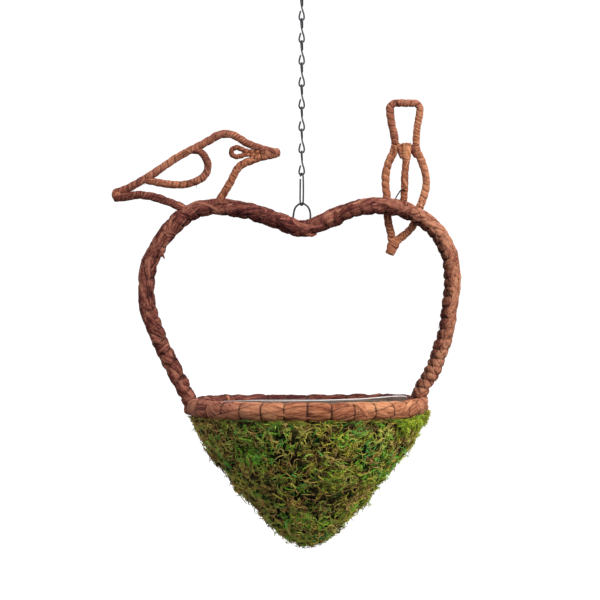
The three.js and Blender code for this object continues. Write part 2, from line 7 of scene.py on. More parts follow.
import bpy
import numpy as np
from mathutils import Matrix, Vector


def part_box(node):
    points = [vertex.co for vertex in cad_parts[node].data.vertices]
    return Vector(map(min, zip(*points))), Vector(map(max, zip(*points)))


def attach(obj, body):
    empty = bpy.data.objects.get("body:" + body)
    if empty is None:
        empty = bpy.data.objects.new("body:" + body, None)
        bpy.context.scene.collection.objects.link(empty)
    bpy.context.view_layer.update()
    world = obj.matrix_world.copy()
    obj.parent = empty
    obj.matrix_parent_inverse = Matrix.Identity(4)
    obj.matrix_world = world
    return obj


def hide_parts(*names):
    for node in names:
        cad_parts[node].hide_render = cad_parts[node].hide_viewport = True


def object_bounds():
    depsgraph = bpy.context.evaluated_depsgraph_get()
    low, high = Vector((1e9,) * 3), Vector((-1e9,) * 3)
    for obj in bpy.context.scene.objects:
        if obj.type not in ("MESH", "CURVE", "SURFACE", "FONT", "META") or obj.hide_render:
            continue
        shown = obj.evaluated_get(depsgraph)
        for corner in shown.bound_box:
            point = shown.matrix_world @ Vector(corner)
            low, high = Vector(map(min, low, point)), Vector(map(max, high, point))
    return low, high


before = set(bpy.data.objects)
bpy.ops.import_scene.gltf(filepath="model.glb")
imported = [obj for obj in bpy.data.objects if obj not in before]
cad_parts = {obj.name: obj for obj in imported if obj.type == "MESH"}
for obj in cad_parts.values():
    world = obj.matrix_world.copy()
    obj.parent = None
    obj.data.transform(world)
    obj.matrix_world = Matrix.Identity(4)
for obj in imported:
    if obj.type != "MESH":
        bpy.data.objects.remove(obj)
CAD_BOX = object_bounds()

MM = 0.001
TAU = 2 * math.pi
BASKET = "basket"

# Where the rim's plane and centre are, taken from the frame.
RIM_LOW, RIM_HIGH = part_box("rim_hoop")
RIM_Z = (RIM_LOW.z + RIM_HIGH.z) / 2 / MM
RIM_X = (RIM_LOW.x + RIM_HIGH.x) / 2 / MM


# ---- camera ----
def make_camera():
    """Level, from the front, far enough away to look nearly flat."""
    data = bpy.data.cameras.new("camera")
    data.sensor_width = 36
    data.lens = 177.6
    data.clip_end = 50
    camera = bpy.data.objects.new("camera", data)
    camera.location = (-0.0021, -3.7, -0.4416)
    camera.rotation_euler = (math.pi / 2, 0, 0)
    bpy.context.collection.objects.link(camera)
    bpy.context.scene.camera = camera


# ---- number helpers ----
PRIMES = (73856093, 19349663, 83492791)    # large primes, which scatter neighbouring cells


def noise(seed, *axes):
    """Smooth value noise from 0 to 1 on any number of axes, one cell per unit."""
    table = np.random.default_rng(seed).random(8192)
    axes = np.broadcast_arrays(*[np.asarray(a, float) for a in axes])
    cells = [np.floor(a).astype(np.int64) for a in axes]
    parts = [a - c for a, c in zip(axes, cells)]
    parts = [p * p * (3 - 2 * p) for p in parts]
    total = 0.0
    for corner in range(2 ** len(axes)):
        weight, index = 1.0, 0
        for k, (cell, part) in enumerate(zip(cells, parts)):
            bit = corner >> k & 1
            weight = weight * (part if bit else 1 - part)
            index = index ^ (cell + bit) * PRIMES[k]
        total = total + weight * table[index & 8191]
    return total


def cloud(seed, *axes):
    """Three octaves of noise, still from 0 to 1."""
    axes = [np.asarray(a, float) for a in axes]
    one = noise(seed, *axes)
    two = noise(seed + 1, *[a * 2.1 for a in axes])
    three = noise(seed + 2, *[a * 4.3 for a in axes])
    return (one + 0.5 * two + 0.25 * three) / 1.75


def chance(seed, index):
    """One random number from 0 to 1 for each whole number."""
    table = np.random.default_rng(seed).random(4096)
    return table[np.asarray(index, np.int64) & 4095]


def smooth(low, high, value):
    """0 up to low, 1 from high on, and an even S between them."""
    t = np.clip((value - low) / (high - low), 0, 1)
    return t * t * (3 - 2 * t)


def parted(value):
    """The whole part of a number, the rest, and how far the rest is from its nearer end."""
    whole = np.floor(value)
    rest = value - whole
    return whole, rest, np.minimum(rest, 1 - rest)


def turns(count):
    """Shares of a turn round a ring of points, as a row."""
    return (np.arange(count) / count)[None]


def round_axis(radius, angle, z):
    """Points at a radius, an angle and a height from the middle of the rim's plane."""
    x, y = RIM_X + radius * np.cos(angle), radius * np.sin(angle)
    return np.stack(np.broadcast_arrays(x, y, RIM_Z + z), -1)


# ---- curves ----
def catmull(points, per_span=24):
    """The CAD's centripetal curve through points, closely sampled."""
    p = np.asarray(points, float)
    p = np.vstack([2 * p[0] - p[1], p, 2 * p[-1] - p[-2]])
    out = []
    for i in range(1, len(p) - 2):
        a, b, c, d = p[i - 1:i + 3]
        g0, g1, g2 = (max(np.linalg.norm(v) ** 0.5, 1e-4) for v in (b - a, c - b, d - c))
        t1 = ((b - a) / g0 - (c - a) / (g0 + g1) + (c - b) / g1) * g1
        t2 = ((c - b) / g1 - (d - b) / (g1 + g2) + (d - c) / g2) * g1
        t = np.linspace(0, 1, per_span, endpoint=False)[:, None]
        out.append(b + t1 * t + (3 * (c - b) - 2 * t1 - t2) * t ** 2
                   + (2 * (b - c) + t1 + t2) * t ** 3)
    return np.vstack([*out, p[-2]])


def lengths(path):
    return np.concatenate([[0], np.cumsum(np.linalg.norm(np.diff(path, axis=0), axis=1))])


def spaced(path, step):
    """The path at even spacing, and its marks: how far along it each point is."""
    along = lengths(path)
    marks = np.linspace(0, along[-1], max(int(round(along[-1] / step)), 2) + 1)
    return np.stack([np.interp(marks, along, path[:, k]) for k in range(3)], 1), marks


def unit(v):
    return v / np.maximum(np.linalg.norm(v, axis=-1, keepdims=True), 1e-9)


def tangents(path):
    return unit(np.gradient(path, axis=0))


def carried_frames(path):
    """Two axes across a path in space, carried along it without twist."""
    t = tangents(path)
    side = np.cross(t[0], [0.0, 1.0, 0.0])
    if np.linalg.norm(side) < 0.2:
        side = np.cross(t[0], [1.0, 0.0, 0.0])
    sides = []
    for direction in t:
        side = unit(side - direction * side.dot(direction))
        sides.append(side)
    return np.array(sides), np.cross(t, sides)


def flat(points, y=0.0):
    """Points [x, z] in the frame's plane, measured from the rim's plane, as 3-D points."""
    return [(x, y, z + RIM_Z) for x, z in points]


# ---- meshes ----
def join(parts):
    """Parts are (points, [faces, ...], {name: values}); returns one such part."""
    points, faces, values, count = [], [], {}, 0
    for some, groups, named in parts:
        points.append(some)
        faces += [g + count for g in groups]
        for key in named:
            values.setdefault(key, []).append(named[key])
        count += len(some)
    return np.vstack(points), faces, {k: np.concatenate(v) for k, v in values.items()}


def new_piece(name, part, material, body=BASKET, replaces=()):
    """A mesh in metres from a part in millimetres, riding on a body."""
    points, faces, values = part
    mesh = bpy.data.meshes.new(name)
    mesh.vertices.add(len(points))
    mesh.vertices.foreach_set("co", (points * MM).astype(np.float32).ravel())
    corners = np.concatenate([f.ravel() for f in faces]).astype(np.int32)
    sizes = np.concatenate([np.full(len(f), f.shape[1]) for f in faces])
    mesh.loops.add(len(corners))
    mesh.loops.foreach_set("vertex_index", corners)
    mesh.polygons.add(len(sizes))
    starts = np.concatenate([[0], np.cumsum(sizes)[:-1]]).astype(np.int32)
    mesh.polygons.foreach_set("loop_start", starts)
    mesh.update(calc_edges=True)
    mesh.shade_smooth()
    for key, data in values.items():
        kind, field = ("FLOAT_VECTOR", "vector") if data.ndim == 2 else ("FLOAT", "value")
        attribute = mesh.attributes.new(key, kind, "POINT")
        attribute.data.foreach_set(field, data.astype(np.float32).ravel())
    mesh.materials.append(material)
    piece = bpy.data.objects.new(name, mesh)
    bpy.context.collection.objects.link(piece)
    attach(piece, body)
    if replaces:
        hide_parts(*replaces)


def grid_faces(rings, around):
    """Quads between neighbouring rings of points."""
    i = np.arange(rings - 1)[:, None] * around
    j = np.arange(around)[None]
    k = (j + 1) % around
    return np.stack([i + j, i + k, i + around + k, i + around + j], -1).reshape(-1, 4)


def closed_tube(rings, values=None):
    """Rings (n, m, 3) as a closed skin, with a point in the middle of each end."""
    count, around = rings.shape[:2]

    def with_ends(data):
        ends = np.stack([data[0].mean(0), data[-1].mean(0)])
        return np.concatenate([data.reshape(-1, *data.shape[2:]), ends])

    j = np.arange(around)
    k = (j + 1) % around
    low, last = count * around, (count - 1) * around
    start = np.stack([k, j, np.full(around, low)], 1)
    end = np.stack([last + j, last + k, np.full(around, low + 1)], 1)
    named = {key: with_ends(data) for key, data in (values or {}).items()}
    return with_ends(rings), [grid_faces(count, around), start, end], named


def wire(path, radius, around=12, bulge=0.0, seed=0):
    """A round wire along a path, with rounded ends."""
    a, b = carried_frames(path)
    along = lengths(path)
    to_end = np.minimum(along, along[-1] - along)
    size = radius * np.sqrt(np.clip(1 - (1 - np.clip(to_end / radius, 0, 1)) ** 2, 0.02, 1))
    if bulge:
        size = size * (1 + bulge * (noise(seed, along / (3 * radius)) - 0.5))
    turn = np.arange(around) * TAU / around
    rings = (path[:, None] + size[:, None, None]
             * (np.cos(turn)[None, :, None] * a[:, None]
                + np.sin(turn)[None, :, None] * b[:, None]))
    return closed_tube(rings)


# ---- materials ----
SOCKETS = {"colour": "Base Color", "roughness": "Roughness", "specular": "Specular IOR Level",
           "metallic": "Metallic", "alpha": "Alpha", "normal": "Normal",
           "glow": "Emission Color", "glow_strength": "Emission Strength"}


class Look:
    """The nodes of a material or world. A value is a number, a colour or another's output."""

    def __init__(self, owner, shader="Principled BSDF"):
        owner.use_nodes = True
        self.owner = owner
        self.tree = owner.node_tree
        self.shader = self.tree.nodes[shader]

    def put(self, socket, value):
        if isinstance(value, bpy.types.NodeSocket):
            self.tree.links.new(value, socket)
        elif socket.type == "RGBA":
            socket.default_value = (*value, 1)
        else:
            socket.default_value = value

    def add(self, kind, inputs=None, **settings):
        """The outputs of a new node, from {socket: value} and its own settings."""
        node = self.tree.nodes.new("ShaderNode" + kind)
        for name, value in settings.items():
            setattr(node, name, value)
        for socket, value in (inputs or {}).items():
            self.put(node.inputs[socket], value)
        return node.outputs

    def surface(self, **values):
        for name, value in values.items():
            self.put(self.shader.inputs[SOCKETS[name]], value)

    def place(self):
        return self.add("TexCoord")["Object"]

    def attribute(self, name, output="Fac"):
        return self.add("Attribute", attribute_name=name)[output]

    def noise(self, vector, scale, detail=4.0, rough=0.6):
        return self.add("TexNoise", {"Vector": vector, "Scale": scale, "Detail": detail,
                                     "Roughness": rough})["Fac"]

    def maths(self, operation, a, b):
        return self.add("Math", {0: a, 1: b}, operation=operation)[0]

    def mix(self, blend, factor, a, b):
        return self.add("Mix", {0: factor, 6: a, 7: b}, data_type="RGBA", blend_type=blend)[2]

    def ramp(self, value, *stops):
        outputs = self.add("ValToRGB", {0: value})
        elements = outputs[0].node.color_ramp.elements
        while len(elements) < len(stops):
            elements.new(0.5)
        for element, (place, colour) in zip(elements, stops):
            element.position = place
            element.color = (*colour, 1)
        return outputs[0]

    def bump(self, height, strength, distance):
        bump = self.add("Bump", {"Height": height, "Strength": strength, "Distance": distance})
        self.surface(normal=bump["Normal"])


def new_look(name):
    return Look(bpy.data.materials.new(name))


def bark_material(name, cool, warm):
    """Fibrous bark strips. cool and warm are (dark, middle, light) colours; the mesh
    carries fibre = (along, across, strip) and tint = (tone, painted shade, warmth). The painted
    shade, laid in grooves and hollows, takes the colour towards near black."""
    look = new_look(name)
    fibre = look.attribute("fibre", "Vector")
    tone, crevice_shade, warmth = look.add("SeparateXYZ", {0: look.attribute("tint", "Vector")})
    coarse = look.add("Mapping", {"Vector": fibre, "Scale": (0.05, 0.42, 5.0)})[0]
    fine = look.add("Mapping", {"Vector": fibre, "Scale": (0.12, 1.5, 9.0)})[0]
    streak = look.noise(coarse, 1.0, 5.0, 0.68)
    thread = look.noise(fine, 1.0, 3.0, 0.7)
    streaks = look.maths("MULTIPLY", look.maths("SUBTRACT", streak, 0.5), 2.9)
    threads = look.maths("MULTIPLY", look.maths("SUBTRACT", thread, 0.5), 2.0)
    value = look.maths("ADD", tone, look.maths("ADD", streaks, threads))
    cool, warm = (look.ramp(value, *zip((0.0, 0.5, 1.0), colours)) for colours in (cool, warm))
    colour = look.mix("MIX", warmth, cool, warm)
    # Painted shade: grooves and hollows are mixed towards near black.
    colour = look.mix("MIX", crevice_shade, colour, (0.018, 0.007, 0.006))
    look.surface(colour=colour, roughness=0.82, specular=0.12)
    look.bump(look.maths("ADD", streak, look.maths("MULTIPLY", thread, 0.6)), 0.75, 0.0009)
    return look.owner


def steel_material(name, base, roughness, rust=0.0):
    look = new_look(name)
    place = look.place()
    blotch = look.noise(place, 260.0)
    dark = tuple(c * 0.55 for c in base)
    tinted = (base[0] * (1 + rust), base[1], base[2] * (1 - 0.4 * rust))
    shine = look.ramp(blotch, (0.2, (roughness - 0.08,) * 3), (0.8, (roughness + 0.12,) * 3))
    look.surface(colour=look.ramp(blotch, (0.3, dark), (0.7, tinted)), metallic=0.75, roughness=shine)
    look.bump(look.noise(place, 900.0, 3.0), 0.2, 0.0002)
    return look.owner


def moss_material():
    """Leaf colour comes with each frond; noise mottles it."""
    look = new_look("moss")
    place = look.place()
    mottle = look.ramp(look.noise(place, 420.0, 3.0), (0.25, (0.55, 0.5, 0.45)), (0.75, (1.25, 1.2, 1.1)))
    colour = look.mix("MULTIPLY", 1.0, look.attribute("leaf", "Color"), mottle)
    look.surface(colour=colour, roughness=0.6, specular=0.22)
    look.bump(look.noise(place, 1500.0, 2.0), 0.35, 0.0006)
    return look.owner


def moss_bed_material():
    """The packed mat under the fronds, painted nearly black as the shade between them, and its dry side
    inside the cone.
    """
    look = new_look("moss_bed")
    place = look.place()
    clumps = look.noise(place, 70.0, 6.0, 0.7)
    # Painted shade: the mat under the fronds is kept nearly black.
    shaded_mat = look.ramp(clumps, (0.30, (0.006, 0.005, 0.002)), (0.48, (0.016, 0.013, 0.004)),
                     (0.60, (0.022, 0.028, 0.005)), (0.80, (0.055, 0.048, 0.016)))
    dry = look.ramp(clumps, (0.30, (0.090, 0.065, 0.028)), (0.80, (0.340, 0.260, 0.110)))
    colour = look.mix("MIX", look.attribute("inside"), shaded_mat, dry)
    look.surface(colour=colour, roughness=0.95, specular=0.1)
    look.bump(look.noise(place, 520.0, 6.0, 0.75), 1.0, 0.004)
    return look.owner


def film_material():
    """Clear, slightly cloudy plastic film; its folded edge carries a painted highlight, white and opaque.
    """
    look = new_look("film")
    place = look.place()
    haze = look.noise(place, 34.0)
    edge = look.attribute("edge")
    cloudy = look.ramp(haze, (0.3, (0.13, 0.13, 0.10)), (0.7, (0.28, 0.25, 0.23)))
    thin = look.maths("ADD", look.maths("MULTIPLY", haze, 0.4), 0.14)
    # The edge value paints a white, opaque highlight along the fold.
    look.surface(colour=look.mix("MIX", edge, cloudy, (0.93, 0.94, 0.94)), roughness=0.28,
                 specular=0.22, alpha=look.maths("MAXIMUM", thin, edge))
    look.bump(look.noise(place, 90.0, 3.0, 0.5), 0.5, 0.003)
    return look.owner


def floor_material():
    look = new_look("pale_floor")
    pale = look.ramp(look.noise(look.place(), 3.0, 2.0, 0.5), (0.0, (0.93,) * 3), (1.0, (0.96,) * 3))
    look.surface(colour=pale, roughness=1.0, glow=pale, glow_strength=0.14)
    return look.owner


# ---- bark wrapping ----
RING_STEP = 0.6      # mm between the rings of a thick sleeve
BIRD_STEP = 0.5      # and of a thin one
STRIP_SHIFT, PATCH_SHIFT = 31.7, (40, 13.3)    # move the fibre pattern from strip to strip


@dataclass
class Bark:
    """How a sleeve of bark strips is wound, in mm. An object is a number or one per ring."""
    seed: int
    strands: int                # strips side by side round the rod
    twist: object               # turns per mm
    lift: object                # how far each strip bulges
    patches: float              # loose strips laid over, per mm of rod
    tone: object                # -0.5 dark .. 0.5 light
    warmth: object              # 0 purple brown .. 1 orange
    thread: float = 0.0         # how much shade is painted in the line between two strips
    fibre_height: float = 0.3
    hair: float = 0.0           # loose fibres per mm
    lumps: float = 0.2          # unevenness, as a share of the radius


def per_ring(value, marks):
    return np.broadcast_to(np.asarray(value, float), marks.shape)


def strip_field(bark, marks, around, girth):
    """Height, tone, painted groove shade, fibre (along, across) and strip number on a (rings, around)
    grid.
    """
    s = marks[:, None]
    turn = turns(around)
    x, y = np.cos(TAU * turn) * 0.7, np.sin(TAU * turn) * 0.7
    twist = per_ring(bark.twist, marks)
    wound = (np.cumsum(twist) * marks[1])[:, None]
    phase = (turn - wound) * bark.strands + 0.5 * (noise(bark.seed + 3, s / 45, x, y) - 0.5)
    strip, inside, edge = parted(phase)
    strip = np.mod(strip, bark.strands)    # it comes round again after a whole turn
    strip = strip + 17 * np.floor(s / 85 + chance(bark.seed + 4, strip) * 9)
    bulge = np.sin(math.pi * inside) ** 0.55 * (0.7 + 0.6 * chance(bark.seed + 5, strip)) - 0.6
    height = per_ring(bark.lift, marks)[:, None] * bulge
    tone = (chance(bark.seed + 6, strip) - 0.5) * 0.42 + per_ring(bark.tone, marks)[:, None]
    # Painted shade in the lines between strips.
    crevice_shade = bark.thread * (1 - smooth(0, 0.10, edge)) + 0.35 * (1 - smooth(0, 0.05, edge))
    lean = np.arctan(twist * girth)[:, None]
    along = s * np.cos(lean) + turn * girth * np.sin(lean)
    across = inside * girth / bark.strands * np.cos(lean) + strip * STRIP_SHIFT
    return height, tone, crevice_shade, along, across, strip


def lay_patches(bark, marks, girth, height, tone, crevice_shade, along, across):
    """Short loose strips over the wound ones, each with its own lean and tone."""
    base = per_ring(bark.tone, marks)[:, None]
    rng = np.random.default_rng(bark.seed + 11)
    turn = turns(height.shape[1])
    for k in range(int(marks[-1] * bark.patches)):
        centre = rng.random() * marks[-1]
        spot = rng.random()
        lean = rng.normal(0, 0.38) + (math.pi / 2 if rng.random() < 0.12 else 0)
        half_long = rng.uniform(8, 26) * min(1, girth / 60)
        half_wide = rng.uniform(1.3, 4.6) * min(1, girth / 60)
        thick = rng.uniform(0.25, 0.8) * min(1, girth / 50)
        shade = rng.normal(0, 0.2)
        near = np.nonzero(np.abs(marks - centre) < half_long + half_wide)[0]
        rows = slice(near[0], near[-1] + 1)
        ds = (marks[rows] - centre)[:, None]
        dt = ((turn - spot + 0.5) % 1 - 0.5) * girth
        a = ds * math.cos(lean) + dt * math.sin(lean)
        b = dt * math.cos(lean) - ds * math.sin(lean)
        b = b + 0.8 * (noise(bark.seed + 12 + k, a / 7) - 0.5)
        room = half_wide * np.sqrt(np.clip(1 - (a / half_long) ** 4, 0, 1)) - np.abs(b)
        on_strip = np.abs(a) < half_long
        cover = smooth(0, 0.7, room) * on_strip
        rim = smooth(-0.9, 0, room) * (1 - smooth(0, 0.5, room)) * on_strip
        height[rows] = height[rows] * (1 - 0.45 * cover) + thick * cover
        tone[rows] = tone[rows] * (1 - cover) + (base[rows] + shade) * cover
        # Painted shade in a thin line round the edge of each loose strip.
        crevice_shade[rows] = crevice_shade[rows] * (1 - cover) + 0.32 * rim
        along[rows] = np.where(cover > 0.5, a + PATCH_SHIFT[0] * k, along[rows])
        across[rows] = np.where(cover > 0.5, b + PATCH_SHIFT[1] * k, across[rows])


def hairs(bark, path, first, second, radius, warmth, offset):
    """Loose fibres that stand off a sleeve, as fine closed wires."""
    rng = np.random.default_rng(bark.seed + 21 + offset)
    parts = []
    for _ in range(int(lengths(path)[-1] * bark.hair)):
        i = int(rng.integers(2, len(path) - 2))
        angle = rng.random() * TAU
        out = math.cos(angle) * first[i] + math.sin(angle) * second[i]
        ahead = unit(path[i + 1] - path[i - 1]) * rng.choice([-1, 1])
        aside = np.cross(ahead, out) * rng.normal(0, 0.6)
        reach = rng.uniform(3, 7) * min(1, 0.45 + radius / 20)
        t = np.linspace(0, 1, 7)[:, None]
        rise = rng.uniform(0.3, 1.5) * min(1, 0.4 + radius / 16)
        start = path[i] + out * (radius - 0.3)
        line = start + (ahead + aside) * reach * t + out * rise * np.sin(t * 2.4)
        points, faces, _ = wire(line, rng.uniform(0.12, 0.26), 4)
        tint = np.tile([rng.uniform(0.2, 0.9), 0.0, warmth[i]], (len(points), 1))
        fibre = np.tile([i, 5.0 * i, 1.0], (len(points), 1))
        parts.append((points, faces, {"fibre": fibre, "tint": tint}))
    return parts


def sleeve(path, bark, size, step=RING_STEP, around=96, round_ends=(0, 0), pieces=1, up=(0, 1, 0),
           under=None, over=None):
    """A bark sleeve along a path, as a list of equal lengths. size(share) gives its half
    width in the frame's plane and across it, and up is the direction across the plane.
    under and over change the surface before and after the loose strips are laid."""
    line, marks = spaced(path, step)
    second = np.broadcast_to(np.array(up, float), line.shape)
    first = unit(np.cross(tangents(line), second))
    wide, deep = size(marks / marks[-1])
    radius = float(wide.mean())
    girth = TAU * float((wide.mean() + deep.mean()) / 2)
    *fields, strip = strip_field(bark, marks, around, girth)
    if under:
        under(marks, *fields)
    lay_patches(bark, marks, girth, *fields)
    if over:
        over(marks, *fields)
    height, tone, crevice_shade, along, across = fields
    fibres = 1.7 * noise(bark.seed + 31, along / 13, across / 1.7)
    fibres = fibres + 0.7 * noise(bark.seed + 32, along / 7, across / 0.7)
    c, s = np.cos(TAU * turns(around)), np.sin(TAU * turns(around))
    lump = cloud(bark.seed + 33, marks[:, None] / 14, c * 1.2 + 5, s * 1.2 + 5) - 0.5
    height = height + bark.fibre_height * (fibres - 1.2) + bark.lumps * girth / TAU * lump
    reach = np.minimum(wide, deep)
    cap = np.ones(len(marks))
    for distance, amount in zip((marks, marks[-1] - marks), round_ends):
        if amount:
            curve = np.clip(distance / (reach * amount), 0, 1)
            cap = cap * np.sqrt(np.clip(1 - (1 - curve) ** 2, 0.01, 1))
    height = np.clip(height, -0.25 * reach[:, None], 0.35 * reach[:, None])
    rings = (line[:, None]
             + ((wide[:, None] + height) * cap[:, None] * c)[..., None] * first[:, None]
             + ((deep[:, None] + height) * cap[:, None] * s)[..., None] * second[:, None])
    warmth = per_ring(bark.warmth, marks)
    drift = 0.35 * (cloud(bark.seed + 34, marks / 26)[:, None] - 0.5)
    warm = np.clip(warmth[:, None] + drift + 0.5 * tone, 0, 1)
    # Painted shade in the hollows: the deeper the hollow, the darker.
    hollow_shade = np.clip(-height / (0.9 + 0.1 * girth / TAU), 0, 1) * 0.35
    tint = np.stack([np.clip(0.5 + tone, 0, 1), np.clip(crevice_shade + hollow_shade, 0, 1), warm], -1)
    fibre = np.stack([along, across, strip * 0.37], -1)
    cuts = np.linspace(0, len(marks) - 1, pieces + 1).astype(int)
    parts = []
    for begin, end in zip(cuts[:-1], cuts[1:]):
        rows = slice(begin, end + 1)
        part = closed_tube(rings[rows], {"fibre": fibre[rows], "tint": tint[rows]})
        loose = hairs(bark, line[rows], first[rows], second[rows], radius, warmth[rows], begin)
        parts.append(join([part, *loose]))
    return parts


def tapered(*stops):
    """Half width and depth through (share, wide, deep) stops."""
    share, wide, deep = zip(*stops)
    return lambda s: (np.interp(s, share, wide), np.interp(s, share, deep))


def level(value):
    return tapered((0, value, value), (1, value, value))


# ---- heart frame ----
RIM_R = 139.0
FOOT_LEFT, FOOT_RIGHT = RIM_X - RIM_R - 6.6, 149.5
HEART_POINTS = [
    (FOOT_LEFT, -9.7), (FOOT_LEFT - 1, 6), (-152, 33), (-170, 66), (-184, 98), (-193.5, 133),
    (-191, 177), (-179, 203), (-161, 226), (-140, 243), (-119, 250), (-96, 250), (-66, 245),
    (-27, 232), (0, 223), (26, 231.5), (60, 246.5), (91, 252), (122, 249), (148, 237.5),
    (169, 219), (183, 194), (188, 165), (184, 114), (176, 80), (169.5, 61), (164, 47.5),
    (156.6, 34), (150.4, 24), (147.1, 14), (148.4, 3), (FOOT_RIGHT, -9.7)]
FRAME_WRAPS = 8
LOOSE_ENDS = {     # frame length: path of a strip's free end
    2: [(-180.5, 199), (-174, 191.5), (-171.2, 185.8)],
    4: [(3, 219.5), (12, 214.8), (19, 216.6)]}
CROSS_BANDS = [    # share of the frame, half width in mm, tone
    (0.262, 3.2, 0.16), (0.292, 4.0, 0.14), (0.395, 6.5, 0.16), (0.655, 12.0, -0.12),
    (0.690, 5.0, -0.05)]


def frame_twist(share):
    """Nearly lengthwise strips over the left lobe, a rope-like winding elsewhere."""
    rope_left = 1 - smooth(0.10, 0.20, share)
    rope_right = smooth(0.60, 0.70, share)
    tight = smooth(0.82, 0.9, share)
    return 0.0035 + 0.0150 * rope_left + 0.0130 * rope_right + 0.0045 * tight


def cross_bands(marks, height, tone, crevice_shade, along, across):
    """Strips wound straight round the frame at some places."""
    turn = turns(height.shape[1]) * 62
    for share, half, shade in CROSS_BANDS:
        place = marks[-1] * share
        room = (half - np.abs(marks - place))[:, None]
        cover = smooth(0, 1.2, room)
        height += 0.5 * cover
        tone += shade * cover
        # Painted shade along both edges of each band.
        crevice_shade += 0.5 * smooth(-1.0, 0.2, room) * (1 - smooth(0.2, 1.0, room))
        across[:] = np.where(cover > 0.5, marks[:, None] + 7 * place, across)
        along[:] = np.where(cover > 0.5, turn, along)


def scallops(marks, height, tone, crevice_shade, _along, _across):
    """Rope-like swellings, most on the inner side and round the right foot, and cross threads.
    Painted shade lies in their grooves and on the inner side, painted light on the outer side at the
    right.
    """
    share = (marks / marks[-1])[:, None]
    right = smooth(0.60, 0.70, share)
    left_leg = 1 - smooth(0.06, 0.16, share)
    tight = smooth(0.84, 0.90, share)
    turn = turns(height.shape[1])
    c, s = np.cos(TAU * turn), np.sin(TAU * turn)
    inner = smooth(-0.25, 0.75, -c)
    pitch = 16.5 - 3.5 * right - 1.5 * tight
    run = np.cumsum(marks[1] / pitch, 0)
    _, inside, edge = parted(run + turn + 0.7 * noise(731, marks / 37)[:, None])
    weight = ((0.42 + 0.25 * left_leg + 0.55 * right) * inner + tight * (0.8 - 0.4 * inner)
              + 0.34 - 0.26 * right + 0.12 * left_leg)
    spots = noise(733, marks[:, None] / 6, c * 1.5, s * 1.5)
    threads = noise(741, marks[:, None] / 1.9, c * 1.4 + 5, s * 1.4 + 5)
    height += 2.0 * (np.sin(math.pi * inside) ** 0.6 - 0.75) * np.minimum(weight, 1.1)
    height += 0.5 * (0.5 - threads)
    # Painted shade in the grooves between swellings, on the inner side with spots, and in the thread
    # grooves.
    crevice_shade += (0.55 - 0.22 * right) * np.minimum(weight * 1.2, 1) * (1 - smooth(0, 0.13, edge))
    crevice_shade += (0.15 + 0.25 * right) * inner * (0.3 + 1.2 * spots)
    crevice_shade += (1 - 0.4 * right) * 0.34 * smooth(0.66, 0.86, threads)
    # Painted light on the outer side at the right, painted shade on the inner side.
    tone += right * (0.20 * (1 - inner) - 0.14 * inner) - 0.05 * inner
    tone += (1 - 0.4 * right) * 0.34 * (threads - 0.5)


def make_frame(material):
    path = catmull(flat(HEART_POINTS))
    marks = spaced(path, RING_STEP)[1]
    share = marks / marks[-1]
    right = smooth(0.60, 0.72, share)
    left_leg = 1 - smooth(0.05, 0.18, share)
    bark = Bark(seed=700, strands=4, twist=frame_twist(share), patches=0.40, thread=0.55,
                lift=0.75 + 0.65 * right + 0.8 * left_leg, hair=0.10, lumps=0.30,
                tone=-0.02 + 0.10 * right + 0.13 * smooth(0.86, 0.93, share),
                warmth=0.20 + 0.50 * right + 0.12 * left_leg)
    size = tapered((0, 8.6, 8.6), (0.14, 9.6, 9.6), (0.3, 9.9, 9.9), (0.72, 9.9, 9.9),
                   (0.88, 9.0, 9.4), (0.95, 8.8, 9.2), (0.975, 9.8, 9.4), (1, 8.8, 8.8))
    parts = sleeve(path, bark, size, round_ends=(0.5, 0.5), pieces=FRAME_WRAPS,
                   under=cross_bands, over=scallops)
    loose = Bark(seed=790, strands=1, twist=0.02, lift=0.3, patches=0.0, tone=0.0, warmth=0.4,
                 fibre_height=0.2)
    for k, part in enumerate(parts, 1):
        if k in LOOSE_ENDS:
            end = sleeve(catmull(flat(LOOSE_ENDS[k], -5.5)), loose,
                         tapered((0, 2.6, 1.6), (0.5, 2.2, 1.3), (1, 0.7, 0.6)), BIRD_STEP, 24)
            part = join([part, *end])
        new_piece(f"bark_frame_{k}", part, material, replaces=[f"frame_wrap_{k}"])


# ---- rim ----
RIM_WRAP_R = 11.3
LASHING_PITCH = 11.25    # degrees from tie to tie
LASHING_TURNS = 14
LASHING_WIRE, LASHING_R = 0.46, 10.3     # sunk in the wrap
RIM_HALVES = ((2.2, 177.8, ("back_right", "back_left")),
              (182.2, 357.8, ("front_left", "front_right")))


def rim_lean(angle):
    """How far the rim stands from its level: higher at the back, away from the middle."""
    side = np.cos(angle)
    back = smooth(0.15, 0.75, np.sin(angle)) * (4.0 * side ** 2 + 0.5 * side - 0.4)
    return back - 1.1 * smooth(0.15, 0.75, -np.sin(angle))


def rim_point(angle, out=0.0, up=0.0):
    """A point beside the rim's centre line, at an angle in radians."""
    return round_axis(RIM_R + out, angle, rim_lean(angle) + up)


def pillows(start, end, seed):
    """Between two ties the wrap swells, and each swelling has its own lean and tone."""
    def lay(marks, height, tone, crevice_shade, along, across):
        place = (start + (end - start) * marks / marks[-1] + 180) / LASHING_PITCH
        cell, inside, edge = parted(place[:, None])
        height += 1.5 * np.sin(math.pi * inside) ** 0.6 - 1.15
        tone += (chance(seed, cell) - 0.5) * 0.24
        # Painted shade in the groove at each tie.
        crevice_shade += 0.7 * (1 - smooth(0, 0.055, edge))
        lean = (chance(seed + 1, cell) - 0.5) * 1.1
        turn = turns(height.shape[1]) * 70
        fan = 0.35 * (inside - 0.5) * np.sin(TAU * turn / 70)
        s = marks[:, None]
        across[:] = turn * np.cos(lean) - s * np.sin(lean) + 12 * fan + 9 * cell
        along[:] = s * np.cos(lean) + turn * np.sin(lean)
    return lay


def rim_warmth(angle):
    """Purple brown at the left, orange at the front, tan to the right."""
    x = np.cos(angle)
    front = smooth(0.1, 0.6, -np.sin(angle))
    return 0.27 + 0.50 * smooth(-0.62, -0.15, x) * front + 0.05 * x


